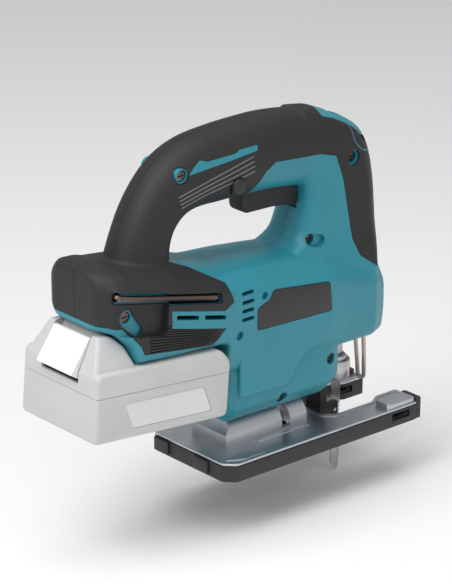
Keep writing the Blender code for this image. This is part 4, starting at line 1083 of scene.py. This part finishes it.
@dataclass
class Battery:
    """The slide-on pack with its cases, release key and blank patches."""

    bench: Bench
    length: float = 108.0
    height: float = 45.5
    half: float = 37.5
    split: float = 30.0
    wall: float = 2.5

    def _bar(self, s0: float, s1: float, h0: float, h1: float, half: float, edge: float = 0.0,
             reach: float = 0.0) -> Solid:
        """A box in the battery's tilted frame, with rounded corners and rims."""
        corners = [(s0, h0), (s1, h0), (s1, h1), (s0, h1)]
        line = rounded(corners, reach, 5) if reach else corners
        return slab(Axis.Y, [tilted(p) for p in line], -half, half, edge)

    def build(self) -> None:
        """Makes the cases, the key and the patches."""
        line = [(0, 0), (self.length, 0), (self.length, self.height - 8), (self.length - 8, self.height),
                (0, self.height)]
        whole = slab(Axis.Y, [tilted(p) for p in rounded(line, 4.5, 5)], -self.half, self.half, 3.0)
        lower = act(copied(whole), self._bar(-5, self.length + 5, -5, self.split, 60), Cut.KEEP)
        lower = minus(lower, self._bar(self.wall, self.length - self.wall, self.wall, self.split + 5,
                                       self.half - self.wall))
        upper = act(whole, self._bar(-5, self.length + 5, self.split + GAP, 70, 60), Cut.KEEP)
        upper = minus(upper, self._bar(self.wall, self.length - self.wall, self.split - 2,
                                       self.height - self.wall, self.half - self.wall))
        rings = []
        for h, rear, front, half in ((42.5, 0.3, 34.4, 34.5), (46.5, 1.7, 33.0, 33.0),
                                     (57.0, 5.9, 28.0, 28.0),
                                     (63.0, 8.2, 21.0, 25.5), (64.6, 9.4, 17.6, 24.0)):
            plan = rounded([(rear, -half), (front, -half), (front, half), (rear, half)], 3.0, 4)
            rings.append([(tilted((a, h))[0], b, tilted((a, h))[1]) for a, b in plan])
        hump = loft(rings)
        upper = plus(upper, hump, self._bar(30, 104, self.height - 1, self.height + 3.5, 21.4),
                     self._bar(30, 104, self.height + 3.0, self.height + 8.4, 25.4))
        pocket = [(-8, 35.5), (7.5, 70), (17, 66), (4.5, 35.5)]
        upper = minus(upper, slab(Axis.Y, [tilted(p) for p in pocket], -18.4, 18.4))
        for side in (-1, 1):
            low, high = sorted((side * (self.half - 0.7), side * 60))
            patch = [tilted(p) for p in rounded([(30, 6.5), (94, 6.5), (86, 24), (22, 24)], 2.5, 4)]
            lower = minus(lower, slab(Axis.Y, patch, low, high))
            film = [tilted(p) for p in rounded([(30.2, 6.8), (93.5, 6.8), (85.8, 23.7), (22.4, 23.7)], 2.3,
                                               4)]
            low, high = sorted((side * (self.half - 0.66), side * (self.half - 0.3)))
            name = "right" if side < 0 else "left"
            self.bench.show(slab(Axis.Y, film, low, high), f"pack_patch_{name}", "pack_patch", "battery")
        self.bench.show(lower, "pack_lower", "pack_grey", "battery", "battery_case_lower")
        self.bench.show(upper, "pack_upper", "pack_grey", "battery", "battery_case_upper")
        key = rounded([(-5.5, 41), (-2.2, 40.6), (-1.0, 38.6), (1.6, 38.4), (9.9, 63), (7.4, 63)], 0.8, 3)
        key_solid = slab(Axis.Y, [tilted(p) for p in key], -17.6, 17.6, 0.4)
        self.bench.show(key_solid, "pack_key", "key_white", "battery_key", "battery_button")


# ---------------------------------------------------------------- controls, key and drive

@dataclass
class Controls:
    """Trigger, lock-off button, hex key and screws."""

    bench: Bench

    def build(self) -> None:
        """Makes the pieces that hands touch."""
        bench = self.bench
        profile = [(-60, 185), (-60, 171), (-59, 167.5), (-56, 165.2), (-46, 165), (-34, 164.8),
                   (-22, 163.4),
                   (-13, 161.4), (-12.4, 164), (-12.4, 185)]
        bench.show(slab(Axis.Y, rounded(profile, 1.2, 3), -TRIGGER_HALF, TRIGGER_HALF, 1.2),
                   "trigger_blade", "soft_grip",
                   "trigger_body", "trigger")
        bench.refine("lock_off_button", "black_nylon", "lock_button", 0.4)
        turn = [(-180.5, -8, 145), (-180.5, -26, 145), (-180, -29.5, 145), (-178.3, -32, 144.5),
                (-174.5, -33, 143.6), (-104.0, -33, 127.5)]
        bench.show(wire(turn, 1.95, 1, 3), "hex_key", "blackened_steel", "wrench", "hex_wrench", smooth=25)
        for name in SCREWS:
            bench.refine(f"screw_{name}", "blackened_steel", "housing", 0.15)


class Drive:
    """Finishes for the hidden pieces, which keep their frame meshes."""

    FINISH_OF = {
        "motor_can": "ground_steel", "end_bell": "black_nylon", "field_magnet_1": "blackened_steel",
        "field_magnet_2": "blackened_steel", "brush_1": "black_nylon", "brush_2": "black_nylon",
        "armature_core": "ground_steel", "armature_shaft": "ground_steel", "commutator": "turned_copper",
        "cooling_fan": "black_nylon", "rear_bearing": "ground_steel", "front_bearing": "ground_steel",
        "gear_housing": "blasted_alloy", "gear_shaft": "ground_steel", "crank_gear": "ground_steel",
        "crank_pin": "ground_steel", "lower_bush": "porous_bronze", "upper_bush": "porous_bronze",
        "switch_body": "black_nylon", "terminal_block": "black_nylon", "controller_board": "board_green",
        "cell_block": "board_green", "work_lamp": "lamp_lens"}

    def __init__(self, bench: Bench) -> None:
        """Keeps the bench."""
        self.bench = bench

    def build(self) -> None:
        """Dresses each node."""
        for node, finish in self.FINISH_OF.items():
            self.bench.dress(node, finish)
            LOG.info("%s keeps its mesh, in %s", node, finish)


# ---------------------------------------------------------------- the stage

@dataclass
class Stage:
    """Floor, lights and camera."""

    azimuth: float = -40.57
    elevation: float = 20.55
    distance: float = 1.7984
    target: Point3 = (-0.0675, 0.0, 0.1128)

    def _aim(self, obj: Solid, azimuth: float, elevation: float, away: float) -> None:
        """Places a lamp or camera round the target, in degrees and metres, and turns it to face it."""
        a, e = math.radians(azimuth), math.radians(elevation)
        back = Vector((math.sin(a) * math.cos(e), -math.cos(a) * math.cos(e), math.sin(e)))
        obj.location = Vector(self.target) + back * away
        obj.rotation_mode = "QUATERNION"
        obj.rotation_quaternion = (-back).to_track_quat("-Z", "Y")

    def _lamp(self, name: str, azimuth: float, elevation: float, away: float, size: float,
              power: float) -> None:
        """A soft square lamp aimed at the object."""
        data = bpy.data.lights.new(name, "AREA")
        data.size, data.energy = size, power
        lamp = bpy.data.objects.new(name, data)
        bpy.context.scene.collection.objects.link(lamp)
        self._aim(lamp, azimuth, elevation, away)

    def build(self) -> None:
        """Makes the floor, the lights, the pale surroundings and the camera."""
        bm = bmesh.new()
        bmesh.ops.create_grid(bm, x_segments=1, y_segments=1, size=6.0)
        bmesh.ops.translate(bm, vec=(0, 0, -0.0405), verts=bm.verts)
        floor = to_object(bm, "floor")
        paint = bpy.data.materials.new("pale_floor")
        paint.use_nodes = True
        shader = paint.node_tree.nodes["Principled BSDF"]
        shader.inputs["Base Color"].default_value = (0.9, 0.9, 0.9, 1)
        shader.inputs["Roughness"].default_value = 0.9
        floor.data.materials.append(paint)
        world = bpy.data.worlds.new("studio")
        bpy.context.scene.world = world
        world.use_nodes = True
        world.node_tree.nodes["Background"].inputs["Color"].default_value = (1, 1, 1, 1)
        world.node_tree.nodes["Background"].inputs["Strength"].default_value = 0.42
        self._lamp("key", -85, 48, 1.5, 0.9, 14)
        self._lamp("fill", 5, 28, 1.7, 1.3, 4.5)
        self._lamp("top", -30, 82, 1.4, 1.2, 8.5)
        data = bpy.data.cameras.new("camera")
        data.lens, data.sensor_width = 172.5, 36.0
        data.clip_start, data.clip_end = 0.05, 20.0
        camera = bpy.data.objects.new("camera", data)
        bpy.context.scene.collection.objects.link(camera)
        self._aim(camera, self.azimuth, self.elevation, self.distance)
        bpy.context.scene.camera = camera
        bpy.context.scene.view_settings.view_transform = "Standard"


def main() -> None:
    """Builds the stage and every sub-assembly."""
    logging.basicConfig(level=logging.INFO, format="%(name)s: %(message)s")
    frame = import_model()
    Stage().build()
    bench = Bench(frame)
    Housing(bench).build()
    for maker in (Base(bench), BladeGear(bench), Battery(bench), Controls(bench), Drive(bench)):
        maker.build()


if __name__ == "__main__":
    main()
